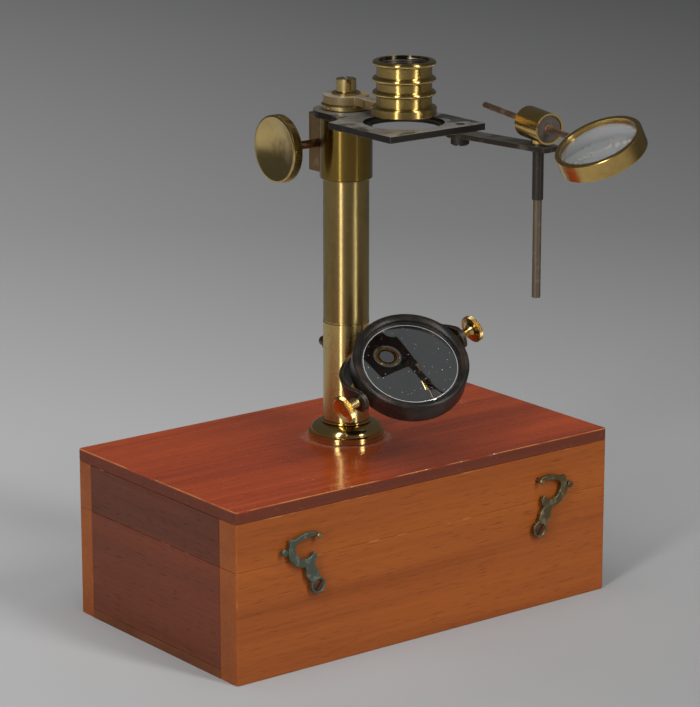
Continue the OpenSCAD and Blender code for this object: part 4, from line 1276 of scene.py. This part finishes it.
@dataclass
class LensArm(Assembly):
    """Swinging arm with its ribbed ring, thread and milling."""

    bore_r: float = 9.3 * MM
    thread_depth: float = 0.38 * MM
    thread_pitch: float = 0.75 * MM
    lip: float = 2.9 * MM
    milled_r: float = 11.87 * MM
    teeth: int = 132
    rib_heights: tuple[float, ...] = (8.37 * MM, 13.53 * MM, 19.55 * MM)

    def dress(self) -> None:
        """Makes the arm and its ring, and cuts the thread and the milled rib edges."""
        low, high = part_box("body_ring")
        centre = Vector(((low.x + high.x) / 2, (low.y + high.y) / 2, low.z))
        ring = TurnedBrass("ring_brass", (0.55, 0.39, 0.13), (0.22, 0.14, 0.045), 0.26, 1.0,
                           0.25, 0.12, bore=self.bore_r).build()
        thread = TurnedBrass("thread_brass", (0.36, 0.32, 0.27), (0.1, 0.085, 0.065), 0.34, 0.0,
                             0.2, 0.3, centre=centre).build()
        milled = TurnedBrass("milled_brass", (0.74, 0.58, 0.28), (0.42, 0.3, 0.12), 0.34, 0.0,
                             0.3, 0.12, centre=centre).build()
        self.saw_arm()
        self.turn_ring(centre, ring)
        self.cut_thread(centre, high.z, thread)
        self.mill_ribs(centre, milled)

    def saw_arm(self) -> None:
        """Saws the arm: round boss, waisted neck, lug and tongue up to the ring."""
        low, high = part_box("lens_arm")
        thick = high.z - low.z
        finish = WornMetal("tarnished_arm", (0.24, 0.17, 0.075), (0.45, 0.34, 0.16), 0.5, 0.36,
                           0.45, 150.0, thick, (0.42, 0.36, 0.27), 0.25 * MM).build()
        boss_r, bore_r, seat_r, ring_y = 8.8, 3.6, 12.25, -35.2
        neck_r, neck_x, neck_y, lug_x, lug_y = 8.0, 10.25, -10.9, 4.1, -16.1
        tongue_x, tongue_y = 3.0, -24.2
        open_a = math.degrees(math.acos((neck_x - lug_x) / neck_r))
        waist = [(-lug_x, lug_y), (lug_x, lug_y),
                 *arc((neck_x, neck_y), neck_r, 180 + open_a, 180 - open_a),
                 *arc((-neck_x, neck_y), neck_r, open_a, -open_a)]
        tongue = [(-tongue_x, tongue_y), (tongue_x, tongue_y), (tongue_x, lug_y + 1.0),
                  (-tongue_x, lug_y + 1.0)]
        work = bmesh.new()
        plate(work, [disc(boss_r), waist, tongue], [disc(bore_r), disc(seat_r, (0.0, ring_y))],
              0.0, thick / MM)
        place = Matrix.Translation((PILLAR_X, PILLAR_Y, low.z))
        piece = made_piece("waisted_arm", work, place, finish, Body.LENS_HOLDER)
        ease_edges(piece, 0.15 * MM)
        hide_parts("lens_arm")

    def turn_ring(self, centre: Vector, finish: Material) -> None:
        """Turns the ring: flange, straight wall and its three rounded ribs.

        Args:
            centre: middle of its foot.
            finish: its material.
        """
        wall, rib_r, rib_t, tall = 10.4, 11.85, 0.85, 20.4
        flange_r, flange_t, bore, lip_r, lip_t = 12.2, 3.2, self.bore_r / MM, 7.7, 2.4
        profile: list[tuple[float, ...]] = [
            (lip_r, 0.0), (flange_r - 0.3, 0.0), (flange_r, 0.3), (flange_r, flange_t - 0.4),
            (flange_r - 0.3, flange_t), (wall + 0.3, flange_t), (wall, flange_t + 0.3)]
        for height in self.rib_heights:
            middle = min(height / MM, tall - rib_t)
            bead = arc((rib_r - rib_t, middle), rib_t, -90.0, 90.0, 10)
            profile += [(wall, middle - rib_t - 0.4), (wall + 0.3, middle - rib_t), *bead]
            if middle < tall - rib_t:
                profile += [(wall + 0.3, middle + rib_t), (wall, middle + rib_t + 0.4)]
        profile += [(bore, tall), (bore, lip_t), (lip_r, lip_t)]
        work = bmesh.new()
        turning(work, profile, 128)
        place = Matrix.Translation(centre)
        piece = made_piece("ribbed_ring", work, place, finish, Body.LENS_HOLDER)
        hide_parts("body_ring")

    def cut_thread(self, centre: Vector, top: float, finish: Material) -> None:
        """Winds the internal thread, which runs out at both ends.

        Args:
            centre: middle of the ring's foot.
            top: height of the ring's mouth.
            finish: the thread's material.
        """
        start, end = centre.z + self.lip, top - 0.9 * MM
        steps, run_out = 72, 20.0
        root_r, half_wide = self.bore_r + 0.05 * MM, 0.5
        count = int((end - start) / self.thread_pitch * steps)
        points, faces = [], []
        for i in range(count + 1):
            angle = 2 * math.pi * i / steps
            z = start + self.thread_pitch * i / steps
            crest_r = self.bore_r - self.thread_depth * min(1.0, i / run_out, (count - i) / run_out)
            for r, dz in ((root_r, -half_wide), (crest_r, 0.0), (root_r, half_wide)):
                points.append((centre.x + r * math.cos(angle), centre.y + r * math.sin(angle),
                               z + dz * self.thread_pitch * 0.96))
            if i:
                a, b = 3 * (i - 1), 3 * i
                faces += [(a, b, b + 1, a + 1), (a + 1, b + 1, b + 2, a + 2), (a + 2, b + 2, b, a)]
        faces += [(0, 1, 2), (3 * count + 2, 3 * count + 1, 3 * count)]
        mesh_piece("ring_thread", points, faces, finish, Body.LENS_HOLDER)

    def mill_ribs(self, centre: Vector, finish: Material) -> None:
        """Mills the lower edge of each rib.

        Args:
            centre: middle of the ring's foot.
            finish: the material.
        """
        points, faces = [], []
        around = 2 * self.teeth
        rows = ((-0.3 * MM, 0.55 * MM, 0.0), (0.06 * MM, 0.36 * MM, 0.5),
                (0.06 * MM, 0.1 * MM, 0.5), (-0.3 * MM, -0.1 * MM, 0.0))
        for height in self.rib_heights:
            base = len(points)
            for out, drop, depth in rows:
                for k in range(around):
                    angle = 2 * math.pi * k / around
                    r = self.milled_r + out - (depth * 0.3 * MM if k % 2 else 0.0)
                    points.append((centre.x + r * math.cos(angle), centre.y + r * math.sin(angle),
                                   centre.z + height - drop))
            for row in range(len(rows)):
                one = base + row * around
                two = base + (row + 1) % len(rows) * around
                for k in range(around):
                    n = (k + 1) % around
                    faces.append((one + k, two + k, two + n, one + n))
        mesh_piece("rib_milling", points, faces, finish, Body.LENS_HOLDER)


@dataclass
class Mirror(Assembly):
    """Round mirror in its fork."""

    tilt_axis: Vector = field(default_factory=Vector)
    # radius of the mirror's painted glint ring
    painted_glint_r: float = 18.1 * MM

    def dress(self) -> None:
        """Gives the mirror its japan, glass and brass."""
        silver = Silvering("mirror_silver", middle_of("mirror_glass"), self.painted_glint_r)
        thumb = TurnedBrass("thumbscrew_brass", (0.72, 0.52, 0.2), (0.34, 0.22, 0.08), 0.2, 0.0,
                            0.35, 0.3, centre=middle_of("mirror_dish"), axis=self.tilt_axis)
        stub = WornMetal("stub_brass", (0.18, 0.11, 0.06), (0.42, 0.29, 0.15), 0.5, 0.38,
                         1.0, 260.0)
        self.wear(("mirror_dish", "mirror_bezel"), Japan("black_japan").build())
        self.wear(("mirror_fork",), Japan("worn_japan", edge=0.4 * MM).build())
        self.wear(("mirror_glass",), silver.build())
        self.wear(("thumbscrew_right", "thumbscrew_left"), thumb.build())
        self.wear(("fork_stub", "stub_nut"), stub.build())


@dataclass
class Condenser(Assembly):
    """Bull's-eye lens on its rods and arm."""

    rod: Vector = field(default_factory=Vector)
    lens_normal: Vector = field(default_factory=Vector)

    def dress(self) -> None:
        """Gives the condenser its finishes."""
        arm_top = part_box("swing_arm")[1].z
        arm = WornMetal("bronzed_arm", (0.045, 0.036, 0.028), (0.16, 0.13, 0.095), 0.45, 0.4, 0.8,
                        150.0, arm_top, (0.2, 0.19, 0.175), 0.3 * MM, (0.4, 0.33, 0.22))
        dark = WornMetal("dark_bronze", (0.055, 0.048, 0.042), (0.13, 0.105, 0.08), 0.4, 0.36,
                         0.85, 260.0)
        copper = WornMetal("rod_copper", (0.29, 0.185, 0.125), (0.48, 0.35, 0.25), 0.5, 0.44,
                           0.95, 240.0)
        bronze = WornMetal("rod_bronze", (0.19, 0.145, 0.1), (0.33, 0.26, 0.19), 0.5, 0.42,
                           0.95, 240.0)
        barrel = TurnedBrass("barrel_brass", (0.7, 0.48, 0.16), (0.34, 0.2, 0.06), 0.15, 0.0,
                             0.3, 0.25, centre=middle_of("barrel_cork"), axis=self.rod)
        mount = TurnedBrass("mount_brass", (0.7, 0.48, 0.16), (0.34, 0.2, 0.06), 0.2, 0.0,
                            0.45, 0.3, centre=middle_of("lens_mount"), axis=self.lens_normal)
        # The rim's painted groove shade reaches only 0.2 mm.
        rim = replace(mount, name="rim_brass", colour=(0.74, 0.62, 0.53), shade=(0.5, 0.37, 0.28),
                      roughness=0.42, lines=0.2, stain=0.2, crevice_shade_reach=0.2 * MM)
        self.wear(("swing_arm",), arm.build(), 0.12 * MM)
        self.wear(("swing_screw", "rod_socket"), dark.build())
        self.wear(("upright_rod",), bronze.build())
        self.wear(("lens_rod", "barrel_bush"), copper.build())
        self.wear(("rod_barrel",), barrel.build())
        self.wear(("barrel_cork",), Cork("dark_cork").build())
        self.wear(("lens_mount",), mount.build())
        self.wear(("lens_ring",), rim.build())
        self.wear(("bulls_eye",), LensGlass("lens_glass").build())


# ---------------------------------------------------------------------- studio


@dataclass(frozen=True)
class Softbox:
    """One soft lamp, aimed at the stand."""

    name: str
    azimuth: float
    elevation: float
    distance: float
    width: float
    height: float
    watts: float
    mirrored: bool = True


@dataclass
class Studio:
    """Pale floor with painted light falloff, soft lamps and the photographer's camera."""

    target: Vector = field(default_factory=lambda: Vector((0.0, 0.0, 0.1)))
    eye: Vector = field(default_factory=lambda: Vector((-0.72232, -0.93641, 0.41531)))
    look: Vector = field(default_factory=lambda: Vector((-0.59142, -0.76426, 0.25705)))
    lens: float = 160.95
    sensor: float = 36.0
    # Painted light: floor tones by distance from the front of the stand.
    floor_painted_light: tuple[tuple[float, float], ...] = (
        (-0.1, 0.36), (0.22, 0.44), (0.68, 0.34), (1.4, 0.37), (2.6, 0.33))
    painted_side_falloff: float = 0.8
    world_strength: float = 0.1
    lamps: tuple[Softbox, ...] = (
        Softbox("left_box", -65.0, 30.0, 1.7, 0.24, 1.5, 15.0),
        Softbox("right_box", 13.0, 32.0, 1.7, 0.24, 1.4, 17.0),
        Softbox("top_box", -60.0, 78.0, 1.6, 1.2, 1.2, 14.0, False),
    )

    @staticmethod
    def direction(azimuth: float, elevation: float) -> Vector:
        """Unit vector from the stand to a point round it.

        Args:
            azimuth: degrees round from the front, positive to the right.
            elevation: degrees up.

        Returns:
            The direction.
        """
        a, e = math.radians(azimuth), math.radians(elevation)
        return Vector((math.sin(a) * math.cos(e), -math.cos(a) * math.cos(e), math.sin(e)))

    def light(self) -> None:
        """Sets up the lamps and the world."""
        for box in self.lamps:
            lamp = bpy.data.lights.new(box.name, "AREA")
            lamp.shape = "RECTANGLE"
            lamp.size, lamp.size_y = box.width, box.height
            lamp.energy = box.watts
            holder = bpy.data.objects.new(box.name, lamp)
            away = self.direction(box.azimuth, box.elevation)
            holder.location = self.target + away * box.distance
            holder.rotation_euler = away.to_track_quat("Z", "Y").to_euler()
            holder.visible_camera = False
            holder.visible_glossy = box.mirrored
            bpy.context.scene.collection.objects.link(holder)
        world = bpy.data.worlds.new("studio")
        bpy.context.scene.world = world
        world.use_nodes = True
        back = world.node_tree.nodes["Background"]
        back.inputs["Color"].default_value = (0.75, 0.76, 0.78, 1.0)
        back.inputs["Strength"].default_value = self.world_strength

    def floor(self) -> None:
        """Lays the pale floor with painted light: it darkens away from the front of the stand, and
        darkens to one side and pales to the other.
        """
        g = Graph("pale_floor_painted_light")
        point = g.place()
        away = -Vector((self.look.x, self.look.y, 0.0)).normalized()
        near, far = self.floor_painted_light[0][0], self.floor_painted_light[-1][0]
        run = g.make("ShaderNodeMapRange", None,
                     {"Value": g.along(point, tuple(away)), "From Min": near, "From Max": far})
        stops = [((at - near) / (far - near), (tone, tone, tone)) for at, tone in self.floor_painted_light]
        shade = g.make("ShaderNodeValToRGB", {"stops": stops}, {0: run})
        across = g.along(point, (away.y, -away.x, 0.0))
        # Painted light: darker to one side, paler to the other.
        painted_side_light = (across * self.painted_side_falloff).least(0.4).most(-0.3)
        grain = g.noise(point, 900.0, 2.0) * 0.06
        colour = g.mix(painted_side_light.most(0.0) + grain, shade, (0.0, 0.0, 0.0))
        colour = g.mix((painted_side_light * -1.0).most(0.0), colour, (1.0, 1.0, 1.0))
        material = g.surface(Base_Color=colour, Roughness=0.8)
        mesh = bpy.data.meshes.new("floor")
        half = 6.0
        corners = [(x, y, 0) for x, y in oblong(half, half)]
        mesh.from_pydata(corners, [], [(0, 1, 2, 3)])
        mesh.materials.append(material)
        obj = bpy.data.objects.new("floor", mesh)
        bpy.context.scene.collection.objects.link(obj)

    def camera(self) -> None:
        """Places the camera where the photograph was taken."""
        data = bpy.data.cameras.new("camera")
        data.lens = self.lens
        data.sensor_width = self.sensor
        data.clip_start, data.clip_end = 0.05, 30.0
        obj = bpy.data.objects.new("camera", data)
        obj.location = self.eye
        obj.rotation_euler = self.look.to_track_quat("Z", "Y").to_euler()
        bpy.context.scene.collection.objects.link(obj)
        bpy.context.scene.camera = obj
        bpy.context.scene.view_settings.view_transform = "Standard"


def main() -> None:
    """Builds the studio and dresses the whole stand."""
    logging.basicConfig(level=logging.INFO, format="%(message)s")
    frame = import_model()
    nodes = frame["nodes"]
    studio = Studio()
    studio.camera()
    studio.floor()
    studio.light()
    joints = {joint["name"]: joint for joint in frame["joints"]}
    tilt_axis = Vector(joints["mirror_tilt"]["axis"])
    rod = Vector(joints["lens_roll"]["axis"])
    lens_normal = Vector((-0.45, 0.03, 0.892)).normalized()
    Case(nodes).dress()
    Fittings(nodes).dress()
    Pillar(nodes).dress()
    Stage(nodes).dress()
    Focus(nodes).dress()
    LensArm(nodes).dress()
    Mirror(nodes, tilt_axis).dress()
    Condenser(nodes, rod, lens_normal).dress()


if __name__ == "__main__":
    main()
